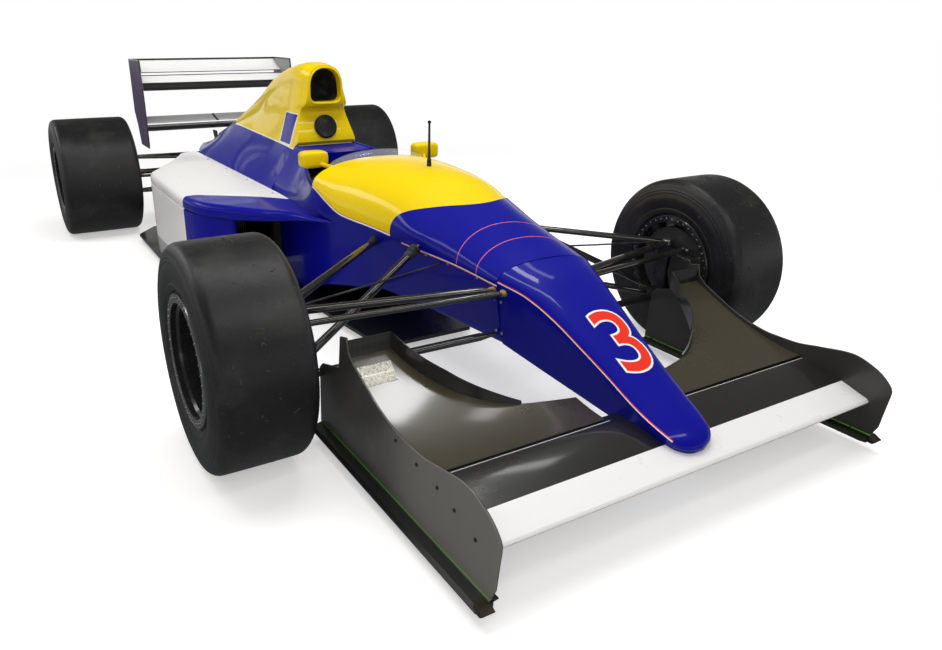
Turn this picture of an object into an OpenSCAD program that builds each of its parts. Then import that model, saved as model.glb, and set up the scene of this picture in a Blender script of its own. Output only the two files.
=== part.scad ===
// Open wheel racing car, seen in its own frame: front towards -Y, left side towards +X, floor at Z = 0.
// The origin is on the floor under the middle of the whole car. Lengths in millimetres.

/* [Overall sizes] */
// Distance from the front axle to the rear axle
wheelbase = 2921; // [2800:1:3600]
// Distance between the middles of the front tyres
front_track = 1803; // [1790:1:2200]
// Distance between the middles of the rear tyres
rear_track = 1676; // [1660:1:2100]
// From the front axle forward to the foremost edge of the front wing's side plates
front_overhang = 925; // [900:1:1120]
// From the rear axle back to the last edge of the rear wing
rear_overhang = 500; // [480:1:600]
// Full width of the floor
floor_w = 1400; // [1390:1:1420]
// Full width of the front wing, over the feet of its side plates
front_wing_w = 1400; // [1240:1:1404]
// Full width of the rear wing, over its side plates
rear_wing_w = 1000; // [820:1:1200]
// Height of the top of the air intake above the floor
intake_h = 1004; // [960:1:1200]

/* [Wheels] */
// Outside diameter of the front tyres
front_tyre_d = 632; // [600:1:660]
// Width of the front tyres
front_tyre_w = 276; // [240:1:290]
// Outside diameter of the rear tyres
rear_tyre_d = 660; // [620:1:680]
// Width of the rear tyres
rear_tyre_w = 420; // [350:1:430]
// Diameter of the rim where the tyre's bead sits
rim_d = 330; // [320:1:350]
// Height of the rim's lip above the bead seat
rim_lip = 18; // [12:1:24]
// Thickness of the rim's barrel
rim_wall = 7; // [5:1:9]
// Diameter of the stub axles
stub_d = 40; // [34:1:48]
// Radial running clearance of a shaft in its bore
running_gap = 0.05; // [0.02:0.01:0.10]
// Clearance between parts that only seat on each other
seat_gap = 0.3; // [0.1:0.1:0.5]

/* [Steering and suspension] */
// How far the steering axis stands inboard of the middle of the front tyre
king_inset = 131; // [125:1:150]
// How far the steering axis stands behind the front axle
king_back = 10; // [0:1:20]
// Height of the upper ball joint of the front uprights
upper_joint_z = 400; // [385:1:410]
// Height of the lower ball joint of the front uprights
lower_joint_z = 192; // [185:1:215]
// Radius of the suspension tubes
tube_r = 9; // [7:0.5:11]
// Radius of the pins that the uprights turn on
pin_r = 10; // [8:0.5:12]
// How far the steering arm reaches in front of the steering axis
steer_arm = 90; // [80:1:100]
// Radius of the steering wheel's rim at its middle
steering_wheel_r = 125; // [115:1:135]

/* [Body] */
// Thickness of the structural body shell
shell = 16; // [12:1:20]
// Thickness of the light body covers
cover = 8; // [6:1:12]
// Height of the side pods' decks
deck_z = 455; // [440:1:500]
// Half of the width over the side pods
pod_half = 680; // [600:1:690]
// Half of the width of the engine cover where it meets the decks
cover_half = 277; // [260:1:300]
// Height of the floor's underside
floor_z = 30; // [25:1:40]
// Thickness of the floor
floor_t = 15; // [10:1:20]
// Thickness of the wings' side plates
plate_t = 6; // [4:1:10]

/* [Hidden] */
$fn = 48;

car_length = front_overhang + wheelbase + rear_overhang;
front_axle_y = front_overhang - car_length / 2;
front_axle_z = front_tyre_d / 2;
rear_axle_z = rear_tyre_d / 2;
deck_floor_z = floor_z + floor_t;

// Stations of the body, measured back from the front axle
nose_tip_y = -838;
joint_y = -210;
cowl_front_y = 200;
cowl_rear_y = 860;
hoop_foot_y = 1254;
firewall_y = 1420;
mouth_y = 1385;
cover_end_y = wheelbase + 157;
pod_start_y = 1060;
pod_rear_y = wheelbase - 766;
pod_tail_y = wheelbase - 166;

// Steering axis and the points that the suspension hangs on, for the left side
king_x = front_track / 2 - king_inset;
upper_joint = [king_x, king_back, upper_joint_z];
lower_joint = [king_x, king_back, lower_joint_z];
arm_end = [king_x, king_back - steer_arm, 392];
rack_end = [120, -240, 432];
upper_mounts = [[166, -196, 431], [244, 424, 447]];
lower_mounts = [[138, -180, 282], [206, 430, 285]];
pushrod_r = tube_r + 1;
pushrod_low = [king_x - 58, king_back, lower_joint_z + 37];
pushrod_top = [214, 161, 491];
rear_king_x = rear_track / 2 - 96;
rear_mount_x = 110;

// ---- shapes used by several parts ----

module car_frame() { translate([0, front_axle_y, 0]) children(); }

module both_sides() {
  children();
  mirror([1, 0, 0]) children();
}

// Straight tube or bar from one point to another
module rod(a, b, r) {
  d = b - a;
  translate(a) rotate([0, acos(d[2] / norm(d)), atan2(d[1], d[0])]) cylinder(r = r, h = norm(d));
}

// Twelve-sided hole that clears a bar of radius r all round
module seat(a, b, r) { rod(a, b, r / cos(15), $fn = 12); }

// Skin between rings that all have the same number of points, without its ends
function skin(n, m) = [for (j = [0 : m - 2]) for (i = [0 : n - 1])
  let (a = j * n + i, b = j * n + (i + 1) % n)
  each [[a, b, b + n], [a, b + n, a + n]]];

// Closed solid over rings, each end a fan from the ring's first point
module loft(rings) {
  n = len(rings[0]);
  last = (len(rings) - 1) * n;
  ends = [for (i = [1 : n - 2]) each [[0, i + 1, i], [last, last + i, last + i + 1]]];
  polyhedron([for (ring = rings) each ring], concat(skin(n, len(rings)), ends));
}

// Closed wall over rings that run out along the skin and back along the lining
module wall_loft(rings) {
  n = len(rings[0]);
  last = (len(rings) - 1) * n;
  ends = [for (i = [0 : n / 2 - 2]) let (b = n - 1 - i) each [[i, b, i + 1], [i + 1, b, b - 1],
    [last + i, last + i + 1, last + b], [last + i + 1, last + b - 1, last + b]]];
  polyhedron([for (ring = rings) each ring], concat(skin(n, len(rings)), ends));
}

// A ring across the car at y from the outline of its left half, bottom to top
function ring(y, half) = let (n = len(half)) concat(
  [for (p = half) [p[0], y, p[1]]],
  [for (i = [n - 1 : -1 : 0]) if (half[i][0] > 0) [-half[i][0], y, half[i][1]]]);

// Left half of a rounded arch of half width w from height z0 up to z1 in the middle
function arch(w, z0, z1, power = 1) =
  [for (a = [0 : 15 : 90]) [w * pow(cos(a), power), z0 + (z1 - z0) * pow(sin(a), power)]];

// Quarter round from the flat bottom at z up to the side at half width w
function corner(w, z, r) = [for (a = [0 : 22.5 : 90]) [w - r + r * sin(a), z + r - r * cos(a)]];

function column(table, k) = [for (row = table) [row[0], row[k]]];
function at(table, k, y) = lookup(y, column(table, k));

// ---- laws of the body's sections, each row at one station ----

// [y, half width low, height low, half width at the shoulder, its height, height of the top]
nose_rows = [
  [nose_tip_y, 14, 172, 20, 180, 188],
  [-828, 36, 164, 46, 184, 199],
  [-805, 58, 160, 69, 197, 215],
  [-700, 76, 166, 89, 241, 266],
  [-600, 82, 176, 97, 290, 320],
  [-500, 92, 190, 109, 340, 376],
  [-400, 105, 206, 124, 390, 430],
  [-300, 125, 228, 146, 430, 476],
  [joint_y, 150, 254, 176, 452, 505]];

// [y, half width low, height low, half width and height of the waist, half width and height of the rim]
tub_rows = [
  [joint_y, 150, 254, 170, 380, 176, 452],
  [0, 160, 248, 190, 400, 198, 468],
  [200, 180, 245, 215, 400, 226, 475],
  [450, 215, 239, 250, 400, 262, 488],
  [620, 245, 205, 272, 400, 284, 492],
  [cowl_rear_y, 275, 150, 300, 455, 302, 563],
  [1050, 280, 85, 294, 455, 255, 597],
  [hoop_foot_y, 276, deck_floor_z, 285, 455, 168, 632],
  [firewall_y, 272, deck_floor_z, cover_half, 455, 152, 640]];

// [y, height in the middle]; the sides stand on the tub's rim
hump_rows = [[joint_y, 505], [0, 562], [cowl_front_y, 620]];
cowl_rows = [[cowl_front_y, 620], [330, 664], [450, 677], [620, 682], [740, 677], [cowl_rear_y, 663]];

function along(t) = firewall_y + t * (cover_end_y - firewall_y);

// [y, half width at the belt, height of the belt, half width of the crown, its height, height of the spine]
cover_rows = [
  [firewall_y, 150, 640, 100, intake_h - 110, intake_h - 22],
  [along(0.05), 148, 640, 98, intake_h - 100, intake_h],
  [along(0.16), 140, 638, 84, intake_h - 110, intake_h - 22],
  [along(0.31), 126, 636, 62, intake_h - 165, intake_h - 78],
  [along(0.51), 108, 634, 42, intake_h - 290, intake_h - 206],
  [along(0.66), 94, 624, 34, intake_h - 350, intake_h - 296],
  [along(0.83), 86, 560, 40, 580, 604],
  [cover_end_y, 74, 478, 44, 500, 520]];

function nose_ring(row, d = 0) = ring(row[0], concat([[0, row[2] + d]],
  corner(row[1] - d, row[2] + d, 12),
  [for (p = arch(row[3] - d, row[4], row[5] - d, 0.85)) p]));

// Left half of the tub's outline, bottom to rim, set in by d
function tub_half(row, d) = concat([[0, row[2] + d]], corner(row[1] - d, row[2] + d, 24),
  [[row[3] - d, row[4]], [row[5] - d, row[6]]]);

// Closed outline of the tub's wall at y: out along the skin and back along the lining
function tub_wall(y) = let (row = [y, for (k = [1 : 6]) at(tub_rows, k, y)],
  out = tub_half(row, 0), lining = tub_half(row, shell)) wall_ring(y, out, lining);

function wall_ring(y, out, lining) = concat(
  [for (i = [len(out) - 1 : -1 : 1]) [-out[i][0], y, out[i][1]]],
  [for (p = out) [p[0], y, p[1]]],
  [for (i = [len(lining) - 1 : -1 : 0]) [lining[i][0], y, lining[i][1]]],
  [for (i = [1 : len(lining) - 1]) [-lining[i][0], y, lining[i][1]]]);

function rim_w(y) = at(tub_rows, 5, y);
function rim_z(y) = at(tub_rows, 6, y);

// Closed outline of a thin arched cover that stands on the tub's rim, open below
function arch_wall(row) = let (y = row[0],
  out = arch(rim_w(y), rim_z(y), row[1], 0.9),
  lining = arch(rim_w(y) - cover, rim_z(y), row[1] - cover, 0.9), n = len(out) - 1) concat(
  [for (p = out) [p[0], y, p[1]]],
  [for (i = [n - 1 : -1 : 0]) [-out[i][0], y, out[i][1]]],
  [for (i = [0 : n]) [-lining[i][0], y, lining[i][1]]],
  [for (i = [n - 1 : -1 : 0]) [lining[i][0], y, lining[i][1]]]);

// The space under an arched cover's skin, filled
module arch_solid(rows, lift) {
  loft([for (row = rows) ring(row[0], concat([[0, rim_z(row[0])]],
    [for (p = arch(rim_w(row[0]) + lift, rim_z(row[0]) + lift, row[1] + lift, 0.9)) p]))]);
}

// ---- nose and body ----

module nose_cone() {
  color("royalblue") car_frame() difference() {
    loft([for (row = nose_rows) nose_ring(row)]);
    loft([for (y = [-560, -400, -300, joint_y + 1])
      nose_ring([y, for (k = [1 : 5]) at(nose_rows, k, y)], 12)]);
    both_sides() seat(arm_end, rack_end, rod_passage);
    // seat of the front wing's middle
    wing_bar(200, 0);
  }
}

// The open tub that carries everything: legs in front, driver behind
module monocoque() {
  color("mediumblue") car_frame() difference() {
    union() {
      wall_loft([for (row = tub_rows) tub_wall(row[0])]);
      bulkhead(joint_y, shell);
      bulkhead(firewall_y - shell, shell);
    }
    // seats of the suspension tubes and passages for the track rods
    both_sides() {
      for (m = upper_mounts) seat(upper_joint, m, tube_r + seat_gap);
      for (m = lower_mounts) seat(lower_joint, m, tube_r + seat_gap);
      seat(arm_end, rack_end, rod_passage);
    }
  }
}

// Cross wall that fills the tub's inside
module bulkhead(y, t) {
  loft([for (v = [y, y + t]) let (row = [v, for (k = [1 : 5]) at(tub_rows, k, v), rim_z(v) - 3],
    half = tub_half(row, shell / 2)) ring(v, concat(half, [[0, row[6]]]))]);
}

module arch_shell(rows) { wall_loft([for (row = rows) arch_wall(row)]); }

module suspension_cover() {
  color("blue") car_frame() difference() {
    arch_shell(hump_rows);
    // seats of the pushrods
    both_sides() seat(pushrod_low, pushrod_top, pushrod_r + seat_gap);
  }
}

module cockpit_cowl() {
  color("gold") car_frame() arch_shell(cowl_rows);
}

// Low clear screen that stands on the cowl's rear edge
module windscreen() {
  color("lightcyan", 0.4) car_frame() translate([0, cowl_rear_y, 0]) wall_loft([
    for (v = [[0.3, 0], [55, 36]]) screen_wall(v[0], v[1])]);
}

function screen_wall(y, lift) = let (
  half = [for (a = [60 : 10 : 90]) [(rim_w(cowl_rear_y) - 2) * pow(cos(a), 0.9),
    rim_z(cowl_rear_y) + lift + 98 * sin(a)]], n = len(half) - 1) concat(
  [for (p = half) [p[0], y, p[1]]],
  [for (i = [n - 1 : -1 : 0]) [-half[i][0], y, half[i][1]]],
  [for (i = [0 : n]) [-half[i][0], y, half[i][1] - 4]],
  [for (i = [n - 1 : -1 : 0]) [half[i][0], y, half[i][1] - 4]]);

// ---- cockpit ----

seat_half = 150;

// Pan, hip bend and reclined back, filled behind down to the tub's floor
module driver_seat() {
  y1 = firewall_y - shell - 14;
  z0 = deck_floor_z + shell + seat_gap;
  color("dimgray") car_frame() rotate([90, 0, 90]) translate([0, 0, -seat_half])
    linear_extrude(2 * seat_half) polygon([[890, 200], [1010, 176], [1110, 190], [1180, 240],
      [y1 - 12, 574], [y1, 570], [y1, z0], [hoop_foot_y, z0], [1010, 162], [890, 186]]);
}

// Steep face under the intake that the headrest is fixed to
face_low = [firewall_y - 25, 668];
face_high = [firewall_y + 20, 789];

module headrest() {
  slope = face_high - face_low;
  tilt = atan2(slope[1], slope[0]);
  middle = (face_low + face_high) / 2;
  pad = 24;
  off = pad / 2 + seat_gap;
  color("black") car_frame() translate([0, middle[0] - off * sin(tilt), middle[1] + off * cos(tilt)])
    rotate([tilt, 0, 0]) cylinder(r = 52, h = pad, center = true);
}

wheel_hub = [0, 935, 530];
column_tilt = -70;
column_r = 11;
rack_r = 11;
rod_passage = tube_r - 1 + 19;
column_knee = [0, wheel_hub[1] + 399 * sin(column_tilt), wheel_hub[2] - 399 * cos(column_tilt)];

module steering_wheel() {
  color("black") car_frame() translate(wheel_hub) rotate([column_tilt, 0, 0]) {
    rotate_extrude() translate([steering_wheel_r, 0]) circle(r = 12, $fn = 24);
    difference() {
      union() {
        cylinder(r = 34, h = 26, center = true);
        for (a = [0, 180, 270]) rotate([0, 0, a]) translate([20, -13, -5])
          cube([steering_wheel_r - 26, 26, 10]);
      }
      translate([0, 0, -60]) cylinder(r = column_r + running_gap, h = 120);
    }
  }
}

// Column down to the rack housing on the front bulkhead, with the rack's bar running in it
module steering_column() {
  back = [0, 20 * sin(column_tilt), -20 * cos(column_tilt)];
  color("gray") car_frame() difference() {
    union() {
      rod(wheel_hub - back, column_knee, column_r);
      translate(column_knee) sphere(r = column_r + 5);
      rod(column_knee, [0, joint_y + shell, rack_end[2] - 18], column_r);
    }
    translate([-40, joint_y + shell - 20, 300]) cube([80, 20, 300]);
  }
  color("gray") car_frame() difference() {
    union() {
      translate([-80, rack_end[1], rack_end[2]]) rotate([0, 90, 0]) cylinder(r = 20, h = 160);
      translate([-30, rack_end[1], rack_end[2] - 14]) cube([60, joint_y - rack_end[1], 28]);
    }
    translate([-160, rack_end[1], rack_end[2]]) rotate([0, 90, 0])
      cylinder(r = rack_r + running_gap, h = 320);
  }
}

// ---- engine, gearbox and their cover ----

module engine_cover() {
  color("gold") car_frame() difference() {
    union() {
      cover_loft(0, firewall_y, cover_end_y);
      hoop_front();
      mouth_collar();
    }
    cover_loft(cover, firewall_y + 30, cover_end_y + 1);
    mouth_duct();
    // recess for the headrest
    across(60) polygon([face_low, face_high, [face_low[0] - 40, face_high[1]], [face_low[0] - 40, face_low[1]]]);
    translate([-200, firewall_y - 1, 0]) cube([400, cover_end_y, deck_z + 1]);
  }
}

function cover_ring(row, d) = ring(row[0], concat(
  [[0, deck_z - (d > 0 ? 10 : 0)], [cover_half_at(row[0]) - d, deck_z - (d > 0 ? 10 : 0)]],
  [[(cover_half_at(row[0]) + row[1]) / 2 - 18 - d, (deck_z + row[2]) / 2 - d / 2]],
  [[row[1] - d, row[2]]], [for (p = arch(row[3] - d, row[4], row[5] - d, 0.8)) p]));

function cover_half_at(y) = lookup(y, [[along(0.6), cover_half], [along(0.78), 262],
  [cover_end_y, 150]]);

module cover_loft(d, y0, y1) {
  inner = [for (row = cover_rows) if (row[0] > y0 && row[0] < y1) row[0]];
  loft([for (y = concat([y0], inner, [y1])) cover_ring([y, for (k = [1 : 5]) at(cover_rows, k, y)], d)]);
}

// Fairing in front of the intake, standing on the tub's rim, with a steep face for the headrest
module hoop_front() {
  loft([for (row = [[hoop_foot_y, 166, 150, 646], [face_low[0], 152, 128, face_low[1]],
    [face_high[0], 150, 112, face_high[1]]])
    let (y = row[0], z0 = hoop_base(y))
    ring(y, [[0, z0], [row[1], z0], [row[2], (z0 + row[3]) / 2 + 2], [row[2] - 30, row[3]], [0, row[3]]])]);
}

// Height of the tub's rim beside the driver's head, and straight on behind it
function hoop_base(y) = rim_z(hoop_foot_y) + seat_gap +
  (rim_z(firewall_y) - rim_z(hoop_foot_y)) * (y - hoop_foot_y) / (firewall_y - hoop_foot_y);

module mouth_collar() {
  loft([for (y = [mouth_y, firewall_y + 20]) ring(y, concat([[0, 812]],
    [[70, 812]], [for (p = arch(92, 850, y == mouth_y ? intake_h - 20 : intake_h - 6, 0.7)) p]))]);
}

module mouth_duct() {
  loft([for (y = [mouth_y - 1, firewall_y + 240]) ring(y, concat([[0, 838]],
    [[52, 838]], [for (p = arch(66, 872, intake_h - 34, 0.75)) p]))]);
}

module engine_block() {
  color("silver") car_frame() translate([-170, firewall_y, deck_floor_z])
    cube([340, engine_l, deck_z - deck_floor_z - 6]);
}

engine_l = 620;
gearbox_y0 = firewall_y + engine_l;
gearbox_z = [200, 420];
shaft_r = 18;

module gearbox() {
  half = rear_mount_x;
  color("darkgray") car_frame() difference() {
    union() {
      translate([0, 0, gearbox_z[0]]) linear_extrude(gearbox_z[1] - gearbox_z[0]) polygon([
        [-160, gearbox_y0], [160, gearbox_y0], [half, gearbox_y0 + 300], [half, wheelbase + 120],
        [60, wheelbase + 200], [-60, wheelbase + 200], [-half, wheelbase + 120], [-half, gearbox_y0 + 300]]);
      translate([-60, gearbox_y0, deck_floor_z])
        cube([120, wheelbase - gearbox_y0 - 300, gearbox_z[0] - deck_floor_z + 10]);
    }
    // bearings of the drive shafts
    both_sides() translate([half - 50, wheelbase, rear_axle_z]) rotate([0, 90, 0])
      cylinder(r = shaft_r + running_gap, h = 80);
  }
}

module rain_light() {
  color("red") car_frame() translate([-35, wheelbase + 200, 250]) cube([70, 24, 90]);
}

// ---- side pods, radiators, floor ----

// Clear of the tub's widest line at y
function beside(y) = max(at(tub_rows, 3, y), rim_w(y)) + 3;

inlet_z = 165;
pod_roof = 32;
duct_wall = 60;

module sidepod() {
  y0 = pod_start_y;
  half = pod_half;
  pod_in = beside(firewall_y);
  difference() {
    union() {
      translate([0, 0, deck_floor_z]) linear_extrude(deck_z - deck_floor_z) polygon([
        [beside(hoop_foot_y), hoop_foot_y], [430, y0 + 90], [575, y0], [half - 30, y0 + 40],
        [half - 8, y0 + 120], [half, y0 + 260], [half, pod_rear_y - 60], [half - 16, pod_rear_y],
        [480, pod_rear_y + 340], [372, pod_tail_y], [pod_in, pod_tail_y], [pod_in, firewall_y]]);
      // roof of the inlet, swept forward along the tub
      translate([0, 0, deck_z - pod_roof]) linear_extrude(pod_roof) polygon([
        [beside(720) + 4, 720], [beside(720) + 90, 810], [575, y0], [430, y0 + 140],
        [beside(hoop_foot_y), hoop_foot_y], [beside(1050), 1050], [beside(cowl_rear_y), cowl_rear_y]]);
    }
    // duct from the inlet back past the radiator
    translate([0, 0, inlet_z]) linear_extrude(deck_z - inlet_z - pod_roof) polygon([
      [beside(1050) - 40, 600], [560, 600], [560, y0 + 120], [half - duct_wall, y0 + 600],
      [half - duct_wall, pod_rear_y - 20], [500, pod_rear_y + 200], [pod_in + 26, pod_rear_y + 200],
      [pod_in + 26, hoop_foot_y + 60], [beside(1050) - 40, hoop_foot_y + 1]]);
  }
}

module left_sidepod() { color("white") car_frame() sidepod(); }

module right_sidepod() { color("white") car_frame() mirror([1, 0, 0]) sidepod(); }

module radiators() {
  color("slategray") car_frame() both_sides() translate([310, pod_start_y + 640, inlet_z])
    rotate([0, 0, -22]) cube([250, 60, deck_z - inlet_z - pod_roof - 2]);
}

module floor_panel() {
  half = floor_w / 2;
  color("saddlebrown") car_frame() translate([0, 0, floor_z]) linear_extrude(floor_t) polygon(concat(
    [for (p = floor_edge(half)) p], [for (i = [6 : -1 : 0]) [-floor_edge(half)[i][0], floor_edge(half)[i][1]]]));
}

function floor_edge(half) = [[150, 400], [250, 520], [290, 960], [half - 100, 1080], [half, 1180],
  [half, wheelbase - 400], [590, wheelbase - 250]];

module diffuser() {
  y0 = wheelbase - 250;
  y1 = wheelbase + 250;
  color("saddlebrown") car_frame() difference() {
    union() {
      rotate([90, 0, 90]) translate([0, 0, -480]) linear_extrude(960) polygon([
        [y0, floor_z], [y0 + 90, floor_z], [y1, 190], [y1, 198], [y0 + 90, deck_floor_z], [y0, deck_floor_z]]);
      for (x = [-480, -160, 152, 472]) rotate([90, 0, 90]) translate([0, 0, x]) linear_extrude(8)
        polygon([[y0 + 100, floor_z + 4], [y1, 90], [y1, 194], [y0 + 100, floor_z + 5]]);
    }
  }
}

// ---- front wing ----

wing_front_y = -893;
slot_y = -648;
flap_inner = 143;
wing_half = front_wing_w / 2 - 38;

// Top and underside of the main plane, front to back
wing_top = [[wing_front_y, 150], [wing_front_y + 8, 158], [-850, 168], [-765, 189], [slot_y - 6, 208]];
wing_low = [[slot_y - 6, 203], [-765, 172], [-850, 150], [wing_front_y + 10, 143]];

module wing_bar(half, gap) {
  rotate([90, 0, 90]) translate([0, 0, -half]) linear_extrude(2 * half) polygon(concat(
    wing_top, [[slot_y - 6, 100], [wing_front_y, 100]]));
}

module front_wing() {
  color("dimgray") car_frame() rotate([90, 0, 90]) translate([0, 0, -wing_half])
    linear_extrude(2 * wing_half) polygon(concat(wing_top, wing_low));
}

// Trailing edge of the flap across its span, and the height law of its surface
function flap_end(x) = x < 288 ? -572 + 96 * (x - flap_inner) / (288 - flap_inner) :
  (x < 534 ? -476 + 243 * sin(90 * (x - 288) / 246) : -233);
function flap_z(y) = 213 + 122 * pow(max(0, y - slot_y) / 415, 1.7);

module front_flap() {
  xs = [flap_inner, 210, 288, 330, 372, 414, 456, 498, 540, wing_half];
  loft([for (x = xs) flap_ring(x)]);
}

flap_t = 5;
fence_h = 46;

// The upright strip along the trailing edge grows from nothing near the nose to its full height
function fence_z(x) = 2 + (fence_h - 2) * min(1, max(0, (x - 250) / 120));

function flap_ring(x) = let (end = flap_end(x), n = 6,
  ys = [for (i = [0 : n]) slot_y + (end - slot_y) * i / n]) concat(
    [for (y = ys) [x, y, flap_z(y)]],
    [[x, end, flap_z(end) + fence_z(x)], [x, end + 4, flap_z(end) + fence_z(x)],
      [x, end + 4, flap_z(end) - flap_t + 1]],
    [for (i = [n : -1 : 0]) [x, ys[i], flap_z(ys[i]) - flap_t]]);

module front_flap() {
  xs = [flap_inner, 210, 288, 330, 372, 414, 456, 498, 540, wing_half];
  rings = [for (x = xs) flap_ring(x)];
  n = len(rings[0]);
  last = (len(xs) - 1) * n;
  // each end is closed strip by strip between its upper and lower edge
  function cap(i) = let (b = n - 1 - i) [[i, i + 1, b], [i + 1, b - 1, b]];
  tail = [[6, 7, 10], [7, 8, 9], [7, 9, 10]];
  near = concat([for (i = [0 : 5]) each cap(i)], tail);
  polyhedron([for (r = rings) each r], concat(skin(n, len(xs)),
    [for (f = near) [f[2], f[1], f[0]]], [for (f = near) [last + f[0], last + f[1], last + f[2]]]));
}

module front_flaps() { color("dimgray") car_frame() both_sides() front_flap(); }

module front_endplates() {
  color("darkslategray") car_frame() both_sides() translate([wing_half, 0, 0]) {
    rotate([90, 0, 90]) linear_extrude(plate_t) polygon([
      [-front_overhang + 6, 150], [-front_overhang, 205], [-front_overhang + 22, 235], [-865, 258],
      [-800, 275], [-700, 258], [-615, 240], [-440, 218], [-318, 279], [-247, 318], [-229, 392],
      [-190, 382], [-175, 285], [-60, 252], [-40, 235], [-30, 50], [-893, 50], [-912, 90]]);
    // foot that seals along the ground
    translate([-20, -893, 32]) cube([58, 863, 18]);
  }
}

// ---- rear wing ----

rear_half = rear_wing_w / 2 - plate_t;
rear_y = wheelbase + rear_overhang;

// Outline of a wing element from its leading to its trailing edge, sagging in the middle
function element_top(front, back, t) = [front, front + [6, t * 0.7], (front + back) / 2 + [0, t * 0.15 - 18],
  back + [0, 4]];
function element_low(front, back, t) = [back, (front + back) / 2 + [0, -t * 0.85 - 18], front + [10, -t * 0.4]];

module across(half) { rotate([90, 0, 90]) translate([0, 0, -half]) linear_extrude(2 * half) children(); }

module rear_element(front, back, t) {
  across(rear_half - seat_gap) polygon(concat(element_top(front, back, t), element_low(front, back, t)));
}

module rear_wing() {
  color("white") car_frame() {
    rear_element([rear_y - 330, 775], [rear_y - 140, 872], 22);
    rear_element([rear_y - 146, 894], [rear_y - 2, 984], 14);
  }
}

beam_front = [rear_y - 320, 531];
beam_back = [rear_y - 110, 585];
beam_t = 22;

module beam_wing() { color("white") car_frame() rear_element(beam_front, beam_back, beam_t); }

module rear_endplates() {
  color("indigo") car_frame() both_sides() translate([rear_half, 0, 0]) rotate([90, 0, 90])
    linear_extrude(plate_t) polygon([
      [rear_y - 400, 470], [rear_y - 390, 760], [rear_y - 350, 905], [rear_y - 120, 1000], [rear_y, 1000],
      [rear_y, 640], [rear_y - 90, 560], [rear_y - 110, 457], [rear_y - 380, 457]]);
}

module rear_wing_posts() {
  color("black") car_frame() both_sides() difference() {
    translate([40, rear_y - 300, 0]) rotate([90, 0, 90]) linear_extrude(12)
      polygon([[20, 600], [110, 600], [-2, gearbox_z[1]], [-40, gearbox_z[1]]]);
    across(200) polygon(concat([[beam_back[0], 700]],
      [for (p = element_low(beam_front, beam_back, beam_t)) p - [0, seat_gap]],
      [beam_front - [20, 0], [beam_front[0] - 20, 700]]));
  }
}

// ---- mirrors and antenna ----

module mirrors() {
  color("gold") car_frame() both_sides() {
    translate([258, 946, 657]) hull() for (x = [-42, 42], z = [-18, 18])
      translate([x, 0, z]) rotate([90, 0, 0]) cylinder(r = 15, h = 70, center = true, $fn = 32);
    difference() {
      rod([240, 922, 640], [196, 832, 630], 7);
      arch_solid([for (row = cowl_rows) if (row[0] > 600) row], seat_gap);
    }
  }
}

module antenna() {
  color("black") car_frame() {
    translate([0, 472, 678.4]) cylinder(r = 9, h = 22);
    translate([0, 472, 700]) cylinder(r = 4, h = 134);
    translate([0, 472, 836]) sphere(r = 5);
  }
}

// ---- front suspension and steering ----

eye_t = 20;
eye_r = 20;
pin_l = 32;
work_gap = 4;
tie_eye_t = 12;
tie_pin_r = 5;

// Two tubes that meet in an eye with a pin, upwards or downwards, for the upright to turn on
module wishbone(joint, mounts, pin_up) {
  translate(joint - [0, 0, eye_t / 2]) cylinder(r = eye_r, h = eye_t);
  translate(joint - [0, 0, pin_up ? 0 : pin_l]) cylinder(r = pin_r, h = pin_l);
  for (m = mounts) rod(joint, m, tube_r);
}

module front_wishbones() {
  lug_top = pushrod_low[2] - pushrod_r - seat_gap;
  color("dimgray") car_frame() both_sides() {
    wishbone(upper_joint, upper_mounts, false);
    wishbone(lower_joint, lower_mounts, true);
    // lug under the pushrod's foot
    translate([pushrod_low[0] - 12, king_back - 12, lower_joint_z - 6])
      cube([24, 24, lug_top - lower_joint_z + 6]);
    translate([pushrod_low[0], king_back - 8, lower_joint_z - 6]) cube([king_x - pushrod_low[0], 16, 12]);
  }
}

module front_pushrods() {
  color("dimgray") car_frame() both_sides() rod(pushrod_low, pushrod_top, pushrod_r);
}

// The rack's bar and both rods slide across the car together; their eyes are wide for the arms' arc
module track_rods() {
  color("dimgray") car_frame() difference() {
    union() {
      both_sides() {
        rod(rack_end, arm_end, tube_r - 1);
        translate(rack_end - [0, 0, rack_r + 3]) cylinder(r = rack_r + 3, h = 2 * rack_r + 6);
        translate(arm_end - [0, 0, tie_eye_t / 2]) cylinder(r = 15, h = tie_eye_t);
      }
      translate([-rack_end[0], rack_end[1], rack_end[2]]) rotate([0, 90, 0])
        cylinder(r = rack_r, h = 2 * rack_end[0]);
    }
    both_sides() translate(arm_end - [0, 0, 20]) cylinder(r = tie_pin_r + 4, h = 40);
  }
}

module front_upright() {
  pillar_z0 = lower_joint_z + eye_t / 2 + work_gap;
  pillar_z1 = upper_joint_z - eye_t / 2 - work_gap;
  arm_top = arm_end[2] - tie_eye_t / 2 - 8;
  difference() {
    union() {
      // pillar between the two ball joints
      translate([king_x - 18, king_back - 24, pillar_z0]) cube([36, 48, pillar_z1 - pillar_z0]);
      along_axle(king_x + 10, 0, front_axle_z) cylinder(r = stub_d / 2 + 14, h = 40);
      along_axle(king_x, 0, front_axle_z) cylinder(r = stub_d / 2, h = front_track / 2 + 46 - king_x);
      // steering arm reaching forward to the track rod's pin
      translate([king_x - 10, arm_end[1] - 8, arm_top - 22]) cube([20, steer_arm, 22]);
      translate([king_x, arm_end[1], arm_top - 1]) cylinder(r = tie_pin_r, h = arm_end[2] - arm_top + 11);
    }
    translate([king_x, king_back, lower_joint_z]) cylinder(r = pin_r + running_gap, h = pin_l + 4);
    translate([king_x, king_back, upper_joint_z - pin_l - 4]) cylinder(r = pin_r + running_gap, h = pin_l + 4);
  }
}

module left_front_upright() { color("silver") car_frame() front_upright(); }

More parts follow.
